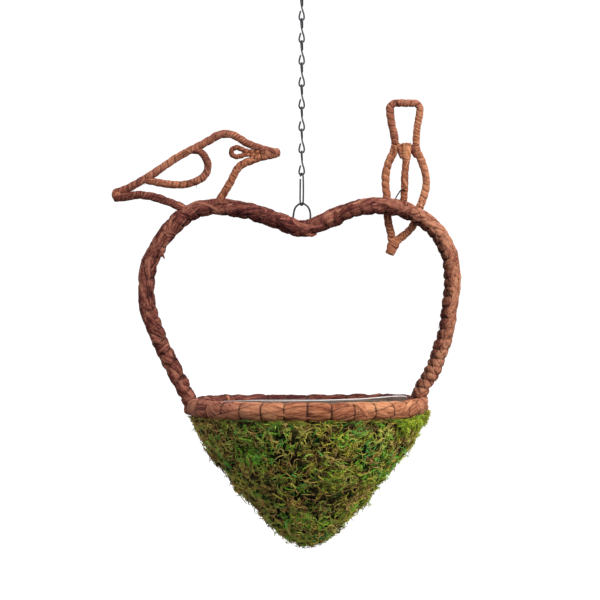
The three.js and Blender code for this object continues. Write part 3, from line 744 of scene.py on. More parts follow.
def make_rim(material):
    for k, (start, end, names) in enumerate(RIM_HALVES):
        back = k == 0
        path = rim_point(np.radians(np.linspace(start, end, 480)))
        angle = np.radians(np.linspace(start, end, len(spaced(path, RING_STEP)[1])))
        # The back half's tone is lowered by 0.42: painted shade on the back rim's inner side, which faces
        # the camera.
        bark = Bark(seed=1530 + 60 * k, strands=5, twist=0.0035, lift=0.4, patches=0.09,
                    tone=0.12 - 0.05 * np.cos(angle) - 0.42 * back, warmth=rim_warmth(angle),
                    thread=0.25, hair=0.04, lumps=0.14 + 0.08 * back)
        parts = sleeve(path, bark, level(RIM_WRAP_R), up=(0, 0, 1), under=pillows(start, end, 40 + k),
                       round_ends=(0.3, 0.3), pieces=2)
        for name, part in zip(names, parts):
            new_piece(f"bark_rim_{name}", part, material, replaces=[f"rim_wrap_{name}"])


def make_lashings(material):
    """A wire goes straight round the rim, then steps to its next place on the inside."""
    for name, start, seed in (("front", LASHING_PITCH - 180, 61), ("back", LASHING_PITCH, 62)):
        t = np.linspace(0, LASHING_TURNS, LASHING_TURNS * 40 + 1)
        whole, rest, _ = parted(t)
        jitter = np.random.default_rng(seed).normal(0, 0.55, LASHING_TURNS + 2)
        here, there = jitter[whole.astype(int)], jitter[whole.astype(int) + 1]
        move = smooth(0.25, 0.75, rest)
        angle = np.radians(start + (whole + move) * LASHING_PITCH + here + (there - here) * move)
        dig = LASHING_R + 0.3 * noise(63, t * 5) + 1.5 * np.sin(math.pi * move) ** 2
        path = rim_point(angle, dig * np.cos(TAU * t), dig * np.sin(TAU * t))
        new_piece(f"lashing_{name}", wire(path, LASHING_WIRE, 8), material,
                  replaces=[f"rim_lashing_{name}"])


# ---- birds ----
LEFT_CHEST = [(-106, 252), (-102.1, 259.9), (-95.5, 270.3), (-87.2, 285), (-82.9, 293.9),
              (-79.2, 299.8), (-71.9, 304.9), (-64.5, 307.9), (-54.2, 311.3), (-39.4, 314.2),
              (-34.5, 315.7)]
LEFT_BACK = [(-32.5, 318.9), (-39.4, 320.7), (-54.9, 325.4), (-69.7, 330.8), (-80, 337.2),
             (-88.1, 340.8), (-96.9, 341.5), (-105.8, 339.4), (-115.4, 333.8), (-127.9, 326.6),
             (-142.7, 319.4), (-157.4, 311.2), (-169.2, 303), (-186.9, 291.2), (-201.7, 282.4),
             (-216.4, 274.2), (-225, 270.6), (-234, 268)]
LEFT_TAIL = [(-235.6, 262.4), (-231.2, 262.2), (-216.4, 264.2), (-204.6, 265.6), (-194.3, 264.7),
             (-182.5, 262.2), (-172.2, 258.8), (-160.4, 254.3), (-151.5, 250.4), (-145, 246.5)]
LEFT_WING = [(-144.1, 318.2), (-136.8, 320.7), (-129.4, 320.4), (-123.5, 316.7), (-119.4, 310.1),
             (-117.2, 302.7), (-117.9, 296.8), (-120.5, 290.9), (-125.7, 285.7), (-133.8, 281.8),
             (-144.1, 279.1), (-154.5, 278.2), (-166.3, 278.7), (-178.1, 280.6), (-186.9, 282.4),
             (-195.8, 283.4), (-203.4, 281.6)]
LEFT_EYE = [(-48.3, 318.0), (-63, 319.3), (-70, 320.4), (-75.5, 322.8), (-81, 324.6),
            (-86.2, 323.0), (-88.1, 318.9), (-86.2, 314.8), (-81, 313.3), (-75.5, 314.4),
            (-70, 316.0), (-63, 315.4), (-48.3, 314.8)]
LEFT_BEAK = [(-51.5, 317.6), (-45.5, 317.6), (-35, 317.8), (-26.4, 318.2)]
LEFT_TAIL_TIP = [(-225.5, 267), (-231, 265.8), (-237.6, 265.2)]

BIRD_SETBACK = 15.6    # the perched bird stands behind the frame
TIE_WIRE, TIE_END_WIRE = 0.6, 0.8
RIGHT_WAIST_LEFT = (117.3, 329)
RIGHT_WAIST_RIGHT = (143.6, 327.5)
RIGHT_TAIL = [RIGHT_WAIST_LEFT, (117, 334), (115.4, 343.5), (112.6, 356.5), (110.7, 369.4),
              (111.2, 376.8), (114.8, 380.3), (120.5, 381.2), (134, 380.9), (143.8, 380.6),
              (147.6, 377.2), (148.2, 369.4), (146, 357), (144.3, 344.3), RIGHT_WAIST_RIGHT]
RIGHT_LEFT = [(113.4, 207.4), (111.6, 218.3), (108.8, 229.5), (107.7, 239.3), (106.9, 253),
              (106.5, 267.2), (105.4, 279), (105.7, 291), (107.7, 302.2), (110.9, 310.9),
              (115.2, 319.4), RIGHT_WAIST_LEFT]
RIGHT_RIGHT = [RIGHT_WAIST_RIGHT, (145.4, 319.6), (149.4, 311.4), (153, 301.4), (155.5, 291.4),
               (156.1, 280.4), (154.8, 270.6), (152.3, 262), (149.5, 253.6), (145.1, 242.2),
               (141.6, 231.2), (136.7, 223), (130.4, 217.2), (123.5, 211.8), (117.6, 206.4)]
RIGHT_CENTRE = [(131.4, 318), (130.6, 305.4), (129.5, 291.4), (129, 274.8), (128.2, 260.8),
                (127.9, 249.6)]
RIGHT_KNOT = [(131.6, 331.6), (131.5, 321), (130.8, 309)]
RIGHT_WEB_LEFT = [(120.4, 331.2), (122.6, 322), (126.4, 311.6)]
RIGHT_WEB_RIGHT = [(142, 329), (140.2, 320.4), (144.6, 313)]
RIGHT_BEAK = [(117.0, 209.5), (113.9, 200.6), (109.9, 190.9)]


def bird_bark(seed, warmth, twist=0.115, thread=0.42, tone=0.0):
    return Bark(seed=seed, strands=1, twist=twist, lift=0.75, patches=0.2, tone=tone,
                warmth=warmth, thread=thread, fibre_height=0.2, hair=0.05, lumps=0.26)


def bird_sleeve(points, bark, size, ends=(0.3, 0.3), around=48, y=0.0):
    return sleeve(catmull(flat(points, y)), bark, size, BIRD_STEP, around, ends)[0]


def bird_piece(bird, part, sleeves, material):
    """One wrapped part of the left bird ("bird") or the perched bird ("perch")."""
    side = "left" if bird == "bird" else "right"
    wrap = "" if part in ("beak", "tail_tip") else "_wrap"
    new_piece(f"bark_{bird}_{part}", join(sleeves), material,
              replaces=[f"{side}_bird_{part}{wrap}"])


def along_path(points, *stops):
    """A value for each ring of a bird's sleeve, through (share of its length, value) stops."""
    marks = spaced(catmull(flat(points)), BIRD_STEP)[1]
    return np.interp(marks / marks[-1], *zip(*stops))


def make_left_bird(material):
    back_warmth = along_path(LEFT_BACK, (0, 0.25), (0.2, 0.38), (0.35, 0.25), (0.6, 0.36),
                             (0.8, 0.30), (1, 0.2))
    wing_warmth = along_path(LEFT_WING, (0, 0.15), (0.35, 0.25), (0.5, 0.45), (0.72, 0.62),
                             (0.85, 0.5), (1, 0.25))
    parts = {
        "back": (LEFT_BACK, bird_bark(2000, back_warmth, 0.085, 0.3),
                 tapered((0, 3.6, 3.6), (0.1, 4.2, 4.4), (0.2, 4.75, 4.75), (1, 4.75, 4.6)),
                 (0.4, 0.7)),
        "chest": (LEFT_CHEST, bird_bark(2050, 0.58, 0.11, tone=-0.10),
                  tapered((0, 5.0, 5.0), (0.75, 4.9, 4.9), (1, 3.6, 3.8))),
        "tail": (LEFT_TAIL, bird_bark(2100, 0.20, 0.075, 0.3, -0.08), level(4.95), (0.8, 0.3)),
        "wing": (LEFT_WING, bird_bark(2150, wing_warmth, 0.10, 0.38),
                 tapered((0, 3.9, 3.9), (0.1, 4.5, 4.5), (0.9, 4.6, 4.6), (1, 3.6, 3.8))),
        "eye": (LEFT_EYE, bird_bark(2200, 0.70, 0.15, tone=-0.08), level(3.0), (0.3, 0.3), 32),
        "beak": (LEFT_BEAK, bird_bark(2250, 0.22, 0.11, 0.4, -0.06),
                 tapered((0, 3.6, 3.2), (0.25, 7.3, 4.9), (0.5, 7.2, 4.9), (0.75, 5.8, 4.6),
                         (1, 4.4, 4.0)), (0.35, 0.6)),
        "tail_tip": (LEFT_TAIL_TIP, bird_bark(2300, 0.34, 0.05, 0.25, 0.04),
                     tapered((0, 6.0, 4.7), (0.5, 6.9, 4.9), (1, 5.4, 4.3)), (0.5, 0.8)),
    }
    for part, how in parts.items():
        bird_piece("bird", part, [bird_sleeve(*how)], material)


def make_right_bird(material):
    tail_warmth = along_path(RIGHT_TAIL, (0, 0.45), (0.3, 0.28), (0.6, 0.2), (0.7, 0.75), (1, 0.8))
    left_warmth = along_path(RIGHT_LEFT, (0, 0.62), (0.12, 0.55), (0.3, 0.35), (0.45, 0.7),
                             (0.8, 0.65), (1, 0.8))
    knot = tapered((0, 6.6, 4.9), (0.4, 6.4, 5.2), (1, 4.8, 4.8))
    web = tapered((0, 3.6, 3.8), (0.5, 3.4, 3.8), (1, 2.6, 3.2))
    beak = tapered((0, 6.0, 5.4), (0.35, 7.3, 5.8), (0.7, 6.0, 5.4), (1, 5.4, 5.1))
    parts = {
        "tail": [(RIGHT_TAIL, bird_bark(2400, tail_warmth, tone=0.10), level(4.6))],
        "left": [(RIGHT_LEFT, bird_bark(2450, left_warmth, tone=0.10), level(4.75))],
        "right": [(RIGHT_RIGHT, bird_bark(2500, 0.66, tone=0.09), level(4.6))],
        "centre": [(RIGHT_CENTRE, bird_bark(2550, 0.70, tone=0.15), level(4.5))],
        "waist": [(RIGHT_KNOT, bird_bark(2600, 0.72, 0.03, 0.3, 0.08), knot, (0.4, 0.4), 72),
                  (RIGHT_WEB_LEFT, bird_bark(2620, 0.4, 0.06, 0.5, -0.14), web, (0.6, 0.6)),
                  (RIGHT_WEB_RIGHT, bird_bark(2640, 0.4, 0.06, 0.5, -0.14), web, (0.6, 0.6))],
        "beak": [(RIGHT_BEAK, bird_bark(2650, 0.70, 0.10, 0.35), beak, (0.4, 0.18), 72)],
    }
    for part, rows in parts.items():
        bird_piece("perch", part, [bird_sleeve(*how, y=BIRD_SETBACK) for how in rows], material)


def make_ties(material):
    """Wire slung round the frame, sunk in its bark, and round the perched bird's leg."""
    half = [(1.0, -8.3, 1.6), (4.2, -6.4, 5.8), (6.2, 1, 8.7), (6.4, 9, 8.2), (5.4, 16.5, 4.6),
            (3.2, 20.6, 1.6)]
    loop = [*half, (0, 21.8, 0), *[(-a, back, -up) for a, back, up in reversed(half)]]
    loose = {"left": [(117.4, 4, 261), (118.7, 6.5, 263.4), (121.2, 9.5, 267.4),
                      (124.2, 10.6, 271.4), (127, 10.4, 272.6), (130.6, 10.6, 270.4)],
             "right": [(144.6, 4, 248), (147, 9.6, 250.4), (149, 10.4, 252)]}
    for name, x, z, lean, hand in (("left", 106.8, 251.6, 4, -1), ("right", 145.6, 240.6, 34, 1)):
        c, s = math.cos(math.radians(lean)), math.sin(math.radians(lean))
        spots = [(x + c * hand * a + s * up, back, z + RIM_Z - s * hand * a + c * up)
                 for a, back, up in loop]
        end = [(a, b, h + RIM_Z) for a, b, h in loose[name]]
        part = join([wire(catmull(spots), TIE_WIRE, 8, 0.2, 5), wire(catmull(end), TIE_END_WIRE, 8)])
        new_piece(f"tie_{name}", part, material, replaces=[f"bird_tie_{name}"])


# ---- chain ----
LINK_HALF, LINK_WIDE, LINK_WIRE = 14.9, 3.2, 1.08
LONG_LENGTH, LONG_WIDE, LONG_WIRE = 40.0, 3.3, 1.05
CROOK, CROOK_TOP, CROOK_BOTTOM, HOOK_WIRE = 8.5, -7.0, -29.0, 1.5
HANGER_WIRE = 1.2


def link_points():
    """A loop of wire with a quarter turn between its upper and its lower eye."""
    w, h = LINK_WIDE, LINK_HALF
    return [
        (0.5, -1.5, 2.4), (0.2, -0.9 * w, 0.57 * h), (0, -w, h - w), (0, -0.7 * w, h - 0.3 * w),
        (0, 0, h), (0, 0.7 * w, h - 0.3 * w), (0, w, h - w), (0.2, 0.9 * w, 0.47 * h),
        (0.6, 1.3, 2), (1.3, 0.4, -2), (0.9 * w, 0.2, -0.47 * h), (w, 0, w - h),
        (0.7 * w, 0, 0.3 * w - h), (0, 0, -h), (-0.7 * w, 0, 0.3 * w - h), (-w, 0, w - h),
        (-0.85 * w, 0, -0.54 * h), (-1.3, -0.3, -2.6)]


def arc(radius, middle, degrees):
    """Points (across, height) on a circle round a middle on the chain's line."""
    return [(radius * math.cos(a), middle + radius * math.sin(a)) for a in map(math.radians, degrees)]


def chain_wire(points, radius, around=14, turn=0, up=0):
    """Wire through points, turned in degrees about the chain's line and raised."""
    line = spaced(catmull(points), 0.7)[0]
    c, s = math.cos(math.radians(turn)), math.sin(math.radians(turn))
    line = line @ np.array([[c, s, 0], [-s, c, 0], [0, 0, 1.0]]) + np.array([0, 0, up])
    return wire(line, radius, around)


def make_chain(material):
    for k in range(1, 10):
        node = f"chain_link_{k}"
        low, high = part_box(node)
        part = chain_wire(link_points(), LINK_WIRE, turn=22 - 2 * k, up=(low.z + high.z) / 2 / MM)
        new_piece(f"link_{k}", part, material, node, [node])
    w = LONG_WIDE
    points = [(w, -1.3 * w), *arc(w, -w, (45, 90, 135, 180)),
              *arc(w, w - LONG_LENGTH, (180, 225, 270, 315, 360)), (w, -1.3 * w - 2.1)]
    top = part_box("connecting_link")[1].z / MM - 0.9
    part = chain_wire([(0, a, h) for a, h in points], LONG_WIRE, turn=32, up=top)
    new_piece("long_link", part, material, "connecting_link", ["connecting_link"])


def make_hook(material):
    points = arc(CROOK, CROOK_TOP, range(200, -21, -20)) + arc(CROOK, CROOK_BOTTOM, range(160, 381, 20))
    part = chain_wire([(a, 0, h) for a, h in points], HOOK_WIRE, 16)
    new_piece("hook", part, material, "s_hook", ["s_hook"])


def make_hanger(material):
    points = [(-11.3, 230.2), (-10.6, 238), (-7.6, 250), (0, 255), (7.85, 250.4), (10.8, 242),
              (10.2, 230)]
    new_piece("hanger", chain_wire(flat(points), HANGER_WIRE), material,
              replaces=["hanger_loop"])


# ---- cone ----
CONE_TOP = 15.0    # how far the moss starts below the rim's plane
FACE_POINTS = np.array([(146.0, -CONE_TOP), (132, -41), (104, -81), (62, -129), (31, -161), (0, -177)])


def face_profile(count):
    """The moss face from top edge to tip as (radius, height) and outward normals."""
    p = np.vstack([2 * FACE_POINTS[0] - FACE_POINTS[1], FACE_POINTS,
                   2 * FACE_POINTS[-1] - FACE_POINTS[-2]])
    u = np.linspace(0, len(FACE_POINTS) - 1 - 1e-9, count)
    i = u.astype(int)
    t = (u - i)[:, None]
    a, b, c, d = (p[i + k] for k in range(4))
    spots = 0.5 * (2 * b + (c - a) * t + (2 * a - 5 * b + 4 * c - d) * t ** 2
                   + (3 * b - a - 3 * c + d) * t ** 3)
    run = tangents(spots)
    return spots, np.stack([-run[:, 1], run[:, 0]], 1)


LEDGES = [(-1, -62, 10, 3.5), (-1, -78, 7, -2.5), (-1, -100, 8, 2.5), (1, -42, 9, 3.0),
          (1, -90, 9, -2.0), (1, -119, 9, 3.5), (-1, -140, 8, 2.0)]     # side, height, size, rise


def cone_lumps(angle, z):
    """How far the moss stands out, in mm, over the cone."""
    x, y = np.cos(angle) * 2.6, np.sin(angle) * 2.6
    broad = cloud(301, x * 1.4 + 9, y * 1.4 + 9, z / 30)
    small = cloud(305, x * 3.6 + 9, y * 3.6 + 9, z / 8)
    ledges = sum(rise * np.exp(-((z - height) / size) ** 2)
                 * smooth(0.72, 0.95, side * np.cos(angle)) for side, height, size, rise in LEDGES)
    return 6.0 * (broad - 0.5) + 8.0 * (small - 0.5) + ledges


def make_moss_bed(material):
    rows, around, wall = 90, 300, 16
    spots, normal = face_profile(rows)
    angle = np.arange(around) * TAU / around
    c, s = np.cos(angle), np.sin(angle)
    rings = []
    for (r, z), (nr, nz) in zip(spots[::-1], normal[::-1]):
        r, z = max(r - wall * nr, 0.4), min(z - wall * nz, -CONE_TOP - 0.5)
        wave = 1.2 * (noise(320, c * 8 + 20, s * 8 + 20, z / 9) - 0.5)
        rings.append((np.maximum(r + wave * min(1, r / 20), 0.2), z))
    lip = 1.5 * (noise(321, c * 9 + 20, s * 9 + 20) - 0.5)
    rings += [(r + lip, z + lip) for r, z in ((129, -10.5), (135, -8.5), (140.5, -9.5))]
    for (r, z), (nr, nz) in zip(spots, normal):
        rise = cone_lumps(angle, z) * min(1, r / 25) - 4.4
        rings.append((r + rise * nr, z + rise * nz))
    sheet = np.stack([round_axis(r, angle, z) for r, z in rings])
    inside = np.repeat((np.arange(len(rings)) < rows).astype(float)[:, None], around, 1)
    new_piece("moss_bed", closed_tube(sheet[::-1], {"inside": inside[::-1]}), material,
              replaces=["moss_cover"])


LEAF_COLOURS = np.array([
    (0.050, 0.032, 0.010),   # rotten brown
    (0.185, 0.122, 0.040),   # brown
    (0.215, 0.190, 0.045),   # olive
    (0.170, 0.225, 0.042),   # moss green
    (0.180, 0.420, 0.040),   # fresh green
    (0.045, 0.170, 0.035),   # deep green
    (0.470, 0.500, 0.060),   # yellow green
    (0.560, 0.500, 0.120),   # straw
])
ROTTEN, BROWN, OLIVE, GREEN, FRESH, DEEP, YELLOW, STRAW = range(8)
DRIFTS = [     # x and height in mm on the cone, size, what grows there, how much, how bright
    (-20, -31, 14, DEEP, 12, 1.3), (-14, -25, 10, FRESH, 8, 1.1), (-5, -62, 13, ROTTEN, 20, 0.7),
    (102, -62, 14, FRESH, 12, 1.3), (76, -78, 11, FRESH, 14, 1.2), (135, -25, 16, YELLOW, 12, 1.35),
    (84, -33, 10, STRAW, 12, 1.0), (-50, -100, 12, BROWN, 14, 1.0), (-17, -104, 11, BROWN, 14, 0.9),
    (12, -112, 14, ROTTEN, 20, 0.65), (27, -100, 6, YELLOW, 16, 1.3), (-107, -68, 13, ROTTEN, 14, 0.7),
    (-126, -27, 15, BROWN, 10, 0.8), (-22, -149, 12, FRESH, 8, 1.0), (23, -153, 15, BROWN, 6, 0.9),
    (51, -129, 10, YELLOW, 6, 1.0), (-4, -124, 6, STRAW, 9, 0.9), (84, -107, 12, YELLOW, 6, 1.1),
    (49, -95, 9, BROWN, 12, 0.8), (-30, -73, 5, YELLOW, 16, 1.2), (30, -40, 13, ROTTEN, 8, 0.75),
    (-88, -32, 12, GREEN, 8, 1.15), (-62, -55, 12, FRESH, 7, 1.0), (60, -50, 11, DEEP, 7, 0.8),
]


def leaf_colours(angle, z, rng):
    """A colour for each spray, in drifts over the cone, brighter towards its two sides."""
    x, y = np.cos(angle) * 3, np.sin(angle) * 3
    brown = cloud(401, x * 2 + 7, y * 2 + 7, z / 22)
    fresh = cloud(411, x * 2.4 + 7, y * 2.4 + 7, z / 18)
    yellow = cloud(421, x * 3 + 7, y * 3 + 7, z / 14)
    deep = cloud(431, x * 2.2 + 7, y * 2.2 + 7, z / 20)
    lean = np.clip(1 + 0.75 * np.cos(angle), 0.3, 1.8)
    low = smooth(-90, -150, z)
    weights = np.stack([
        1.5 + 2.6 * smooth(0.5, 0.75, brown),
        0.8 + 3.4 * smooth(0.52, 0.72, brown) + 0.8 * low + 0.7 * (2 - lean),
        1.9 + 0 * brown,
        1.7 + 1.4 * smooth(0.45, 0.65, fresh),
        0.8 * lean + 4.0 * smooth(0.55, 0.72, fresh),
        0.3 + 3.6 * smooth(0.58, 0.72, deep),
        1.2 * lean + 3.9 * smooth(0.54, 0.70, yellow) * lean,
        0.8 + 1.2 * smooth(0.55, 0.8, yellow),
    ], 1)
    c = np.cos(angle)
    bright = rng.lognormal(0.08, 0.68, len(angle)) * (1.42 + 0.60 * c * c + 0.30 * c + 0.05 * low)
    radius = np.interp(-z, -FACE_POINTS[:, 1], FACE_POINTS[:, 0])
    for place, height, size, kind, amount, shine in DRIFTS:
        near = np.exp(-((radius * c - place) ** 2 + (z - height) ** 2) / size ** 2)
        weights[:, kind] += amount * near
        bright *= 1 + (shine - 1) * near
    share = np.cumsum(weights, 1) / weights.sum(1)[:, None]
    pick = (rng.random(len(angle))[:, None] > share).sum(1)
    colour = LEAF_COLOURS[np.clip(pick, 0, len(LEAF_COLOURS) - 1)]
    return colour * bright[:, None]


def under_rim(points):
    """Fronds that would climb over the rim are bent down below it, less so at the right."""
    x = points[..., 0] - RIM_X
    room = 12.0 + 12.0 * smooth(0.80, 0.98, x / np.maximum(np.hypot(x, points[..., 1]), 1))
    rise = (points[..., 2] - RIM_Z + 22) / room
    bent = RIM_Z - 22 + room * np.tanh(np.maximum(rise, 0))
    points[..., 2] = np.where(rise > 0, bent, points[..., 2])
    return points


def copies(points, faces, colour):
    """Like shapes (count, points in one, 3) as one part, kept under the rim, from one's faces."""
    base = (np.arange(len(points)) * points.shape[1])[:, None, None]
    return (under_rim(points).reshape(-1, 3),
            [(f[None] + base).reshape(-1, f.shape[1]) for f in faces],
            {"leaf": colour.reshape(-1, 3)})


def grow(root, heading, normal, length, thick, curl, colour, rng, leaves, knots=8):
    """Curled fronds: a thin three-sided stem with small leaves along it, all closed.
    Length, thickness and curl are (least, most)."""
    count = len(root)
    length, thick, curl = (rng.uniform(*span, count)[:, None] for span in (length, thick, curl))
    axis = unit(0.45 * rng.normal(0, 1, (count, 3)) + normal * rng.choice([-1, 1], (count, 1)))
    spread = np.maximum(np.hypot(root[:, 0] - RIM_X, root[:, 1]), 12)[:, None]
    step = length / (knots - 1)
    spine, heads = [root], [heading]
    for _ in range(knots - 1):
        spine.append(spine[-1] + heads[-1] * step)
        ahead = heads[-1] * np.cos(curl) + np.cross(axis, heads[-1]) * np.sin(curl)
        axis = unit(axis + 0.25 * rng.normal(0, 1, axis.shape))
        rise = (ahead * normal).sum(1, keepdims=True)
        pull = rng.normal(0, 0.10, (count, 1)) - step / spread - 0.35 * np.maximum(rise, 0)
        heads.append(unit(ahead + pull * normal))
    spine, heads = np.stack(spine, 1), np.stack(heads, 1)
    side = unit(np.cross(heads, normal[:, None] + 0.01))
    up = np.cross(side, heads)
    share = np.linspace(0, 1, knots)[:, None]
    size = thick[:, None] * np.sin(math.pi * (0.12 + 0.86 * share)) ** 0.7
    rings = np.stack([spine + size * (math.cos(a) * side + 0.7 * math.sin(a) * up)
                      for a in (math.pi / 2, math.pi * 7 / 6, math.pi * 11 / 6)], 2)
    last = knots * 3 - 3
    ends = np.array([[2, 1, 0], [last, last + 1, last + 2]])
    stem = copies(rings.reshape(count, -1, 3), [grid_faces(knots, 3), ends],
                  np.repeat(colour[:, None] * (0.62 + 0.5 * share), 3, 1))
    if not leaves:
        return stem
    at = np.linspace(0.15, 0.97, leaves) * (knots - 1)
    i = np.minimum(at.astype(int), knots - 2)
    t = (at - i)[:, None]
    foot = spine[:, i] * (1 - t) + spine[:, i + 1] * t
    hand = np.where(np.arange(leaves) % 2, 1.0, -1.0)[:, None]
    out = unit(hand * side[:, i] + 0.75 * heads[:, i]
               + rng.normal(0, 0.35, (count, leaves, 3)) + 0.25 * up[:, i])
    reach = (thick * rng.uniform(2.4, 4.4, (count, leaves)))[..., None]
    wide = reach * 0.24
    across = unit(np.cross(out, up[:, i])) * wide
    middle = foot + out * reach * 0.45
    leaf = np.stack([foot, middle + across, middle - across, middle + up[:, i] * wide * 0.5,
                     foot + out * reach], 2)
    faces = np.array([[0, 1, 3], [0, 3, 2], [0, 2, 1], [4, 3, 1], [4, 2, 3], [4, 1, 2]])
    shade = colour[:, None, None] * rng.uniform(0.75, 1.35, (count, leaves, 1, 1))
    shade = shade * np.array([0.8, 1, 1, 1.05, 1.25])[:, None]
    fan = copies(leaf.reshape(-1, 5, 3), [faces], np.clip(shade, 0, 0.9))
    return join([stem, fan])


def cone_roots(count, rng, low, high):
    """Random places on the cone's face by area: position, normal, angle, height and lumps."""
    spots, normal = face_profile(400)
    run = np.concatenate([[0], np.linalg.norm(np.diff(spots, axis=0), axis=1)])
    weight = np.cumsum(run * np.maximum(spots[:, 0], 1))
    share = low + (high - low) * rng.random(count)
    i = np.clip(np.searchsorted(weight / weight[-1], share), 0, 399)
    angle = rng.random(count) * TAU
    (r, z), (out, up) = spots[i].T, normal[i].T
    lumps = cone_lumps(angle, z) * np.minimum(1, r / 25)
    n = unit(np.stack([out * np.cos(angle), out * np.sin(angle), up], 1))
    return round_axis(r, angle, z), n, angle, z, lumps


def soft_limit(colour):
    """Keeps the hue of colours that would be too bright."""
    peak = colour.max(-1, keepdims=True)
    return np.clip(colour * np.minimum(1, 0.80 / peak), 0.003, 1)


def tuft(seed, count, first, last, low, high, colour):
    """A bright tuft over part of the cone's top edge, first to last degrees round."""
    rng = np.random.default_rng(seed)
    angle = np.radians(rng.uniform(first, last, count))
    z = rng.uniform(low, high, count)
    radius = 145.5 + 4.5 * smooth(-20, -4, z) + rng.uniform(-1, 2.0, count)
    root = round_axis(radius, angle, z)
    n = unit(np.stack([np.cos(angle), np.sin(angle), np.full(count, -0.15)], 1))
    heading = unit(np.cross(n, rng.normal(0, 1, n.shape)) + 0.25 * n)
    shade = rng.lognormal(0, 0.5, (count, 1)) * (1 + rng.normal(0, 0.12, (count, 3)))
    return grow(root, heading, n, (5, 10), (0.55, 0.9), (-0.8, 0.8),
                soft_limit(np.array(colour) * shade), rng, 8)


def frond_layer(seed, sprays, fronds, depth, length, thick, rise, curl, leaves, light,
                low=0.0, high=1.0, spot=5.0):
    """Sprays of fronds that share a root place, a heading and a colour. low and high are
    shares of the cone's face, from its top edge. light scales the colour: painted shade for the
    deep layers, painted light for the top strands."""
    rng = np.random.default_rng(seed)
    place, n, angle, z, lumps = cone_roots(sprays, rng, low, high)
    colour = leaf_colours(angle, z, rng)
    sideways = unit(np.cross(n, rng.normal(0, 1, n.shape)))
    lumps = lumps - rng.uniform(*depth, sprays)
    place, n, lumps, colour, sideways = (np.repeat(v, fronds, 0)
                                         for v in (place, n, lumps, colour, sideways))
    count = len(place)
    other = np.cross(n, sideways)
    spots = rng.normal(0, spot, (count, 2))
    root = place + n * lumps[:, None] + sideways * spots[:, :1] + other * spots[:, 1:]
    turn = rng.normal(0, 0.7, (count, 1))
    lift = rng.uniform(*rise, (count, 1))
    heading = sideways * np.cos(turn) + other * np.sin(turn)
    heading = unit(heading * np.cos(lift) + n * np.sin(lift))
    shade = light * rng.lognormal(0, 0.42, (count, 1)) * (1 + rng.normal(0, 0.07, (count, 3)))
    return grow(root, heading, n, length, thick, curl, soft_limit(colour * shade), rng, leaves)


def make_moss(material):
    """Layers of fronds, parted in sectors so that no one mesh is too large."""
    # The light value of each layer scales its colour: painted shade deep down (0.15), painted light on
    # the top strands (5.5).
    points, faces, values = join([
        frond_layer(501, 1300, 5, (4.5, 6.5), (9, 17), (0.6, 1.0), (0, 0.6), (-0.5, 0.5), 8, 0.15),
        frond_layer(502, 900, 5, (2.2, 4.6), (8, 15), (0.55, 1.0), (0, 0.6), (-0.6, 0.6), 9, 1.8),
        frond_layer(503, 2100, 2, (0.3, 2.6), (9, 22), (0.5, 0.95), (0, 0.35), (-0.9, 0.9), 0, 5.5,
                    spot=3.0),
        frond_layer(504, 220, 5, (3.5, 5.5), (8, 14), (0.6, 0.95), (0, 0.5), (-0.5, 0.5), 8, 1.3,
                    high=0.012),
        tuft(505, 170, -11, 12, -20, 1, (0.62, 0.66, 0.07)),
        tuft(506, 150, -40, -11, -22, -7, (0.48, 0.66, 0.05))])
    sectors = 8
    turn = np.degrees(np.arctan2(points[:, 1], points[:, 0] - RIM_X)) % 360
    sector = np.floor(turn / (360 / sectors))
    for k in range(sectors):
        chosen = [group[sector[group[:, 0]] == k] for group in faces]
        used = np.unique(np.concatenate([group.ravel() for group in chosen]))
        renumber = np.zeros(len(points), np.int64)
        renumber[used] = np.arange(len(used))
        part = (points[used], [renumber[group] for group in chosen], {"leaf": values["leaf"][used]})
        new_piece(f"moss_fronds_{k + 1}", part, material)


FILM_THICK = 0.55
COLLAR = [(124.4, 0, 1.0), (124.0, 0.7, 1.0), (123.9, 1.3, 0.4), (123.8, 1.9, 0), (123.5, 5, 0),
          (123.2, 12, 0)]                      # radius, depth below the edge, painted highlight on the fold
BAG = [(122.6, -12), (117, -30), (104, -47), (87, -67), (68, -89), (46, -113), (26, -135),
       (12, -146), (1.5, -150)]                # radius, height


def make_film(material):
    """A thin bag of film whose wavy collar stands above the rim, higher at the right."""
    around = 360
    angle = np.arange(around) * TAU / around
    x, y = np.cos(angle), np.sin(angle)
    ripple = 1.6 * (noise(601, x * 5 + 9, y * 5 + 9) - 0.5)
    front = smooth(-0.2, 0.9, 0.35 * np.maximum(x, 0) - y)
    top = (6.0 + front * (7.2 + np.where(x > 0, 5.0 * x, 1.7) * x)
           + 0.8 * (noise(602, x * 3 + 9, y * 3 + 9) - 0.5))
    profile = [(r, top - drop, fold_highlight) for r, drop, fold_highlight in COLLAR]
    profile += [(r, np.full(around, float(z)), 0) for r, z in BAG]
    outer = []
    for r, z, _ in profile:
        crease = 1.3 * (noise(603, x * 9 + 20, y * 9 + 20, np.mean(z) / 12) - 0.5)
        radius = r + (ripple + crease) * min(1, r / 60)
        outer.append(round_axis(radius, angle, z))
    outer = np.stack(outer)
    # Painted highlight along the folded edge, strongest at the front.
    edge = np.stack([fold_highlight * (0.3 + 0.7 * smooth(0.3, 0.7, front)) for _, _, fold_highlight in profile])
    middle = np.array([RIM_X, 0])
    reach = np.linalg.norm(outer[..., :2] - middle, axis=2, keepdims=True)
    inner = outer.copy()
    inner[..., :2] = middle + (outer[..., :2] - middle) * np.maximum(reach - FILM_THICK, 0.3) / reach
    inner[len(COLLAR):, :, 2] += FILM_THICK
    sheet = np.concatenate([outer[::-1], inner])
    new_piece("liner_film", closed_tube(sheet, {"edge": np.concatenate([edge[::-1], edge])}),
              material, replaces=["plastic_liner"])


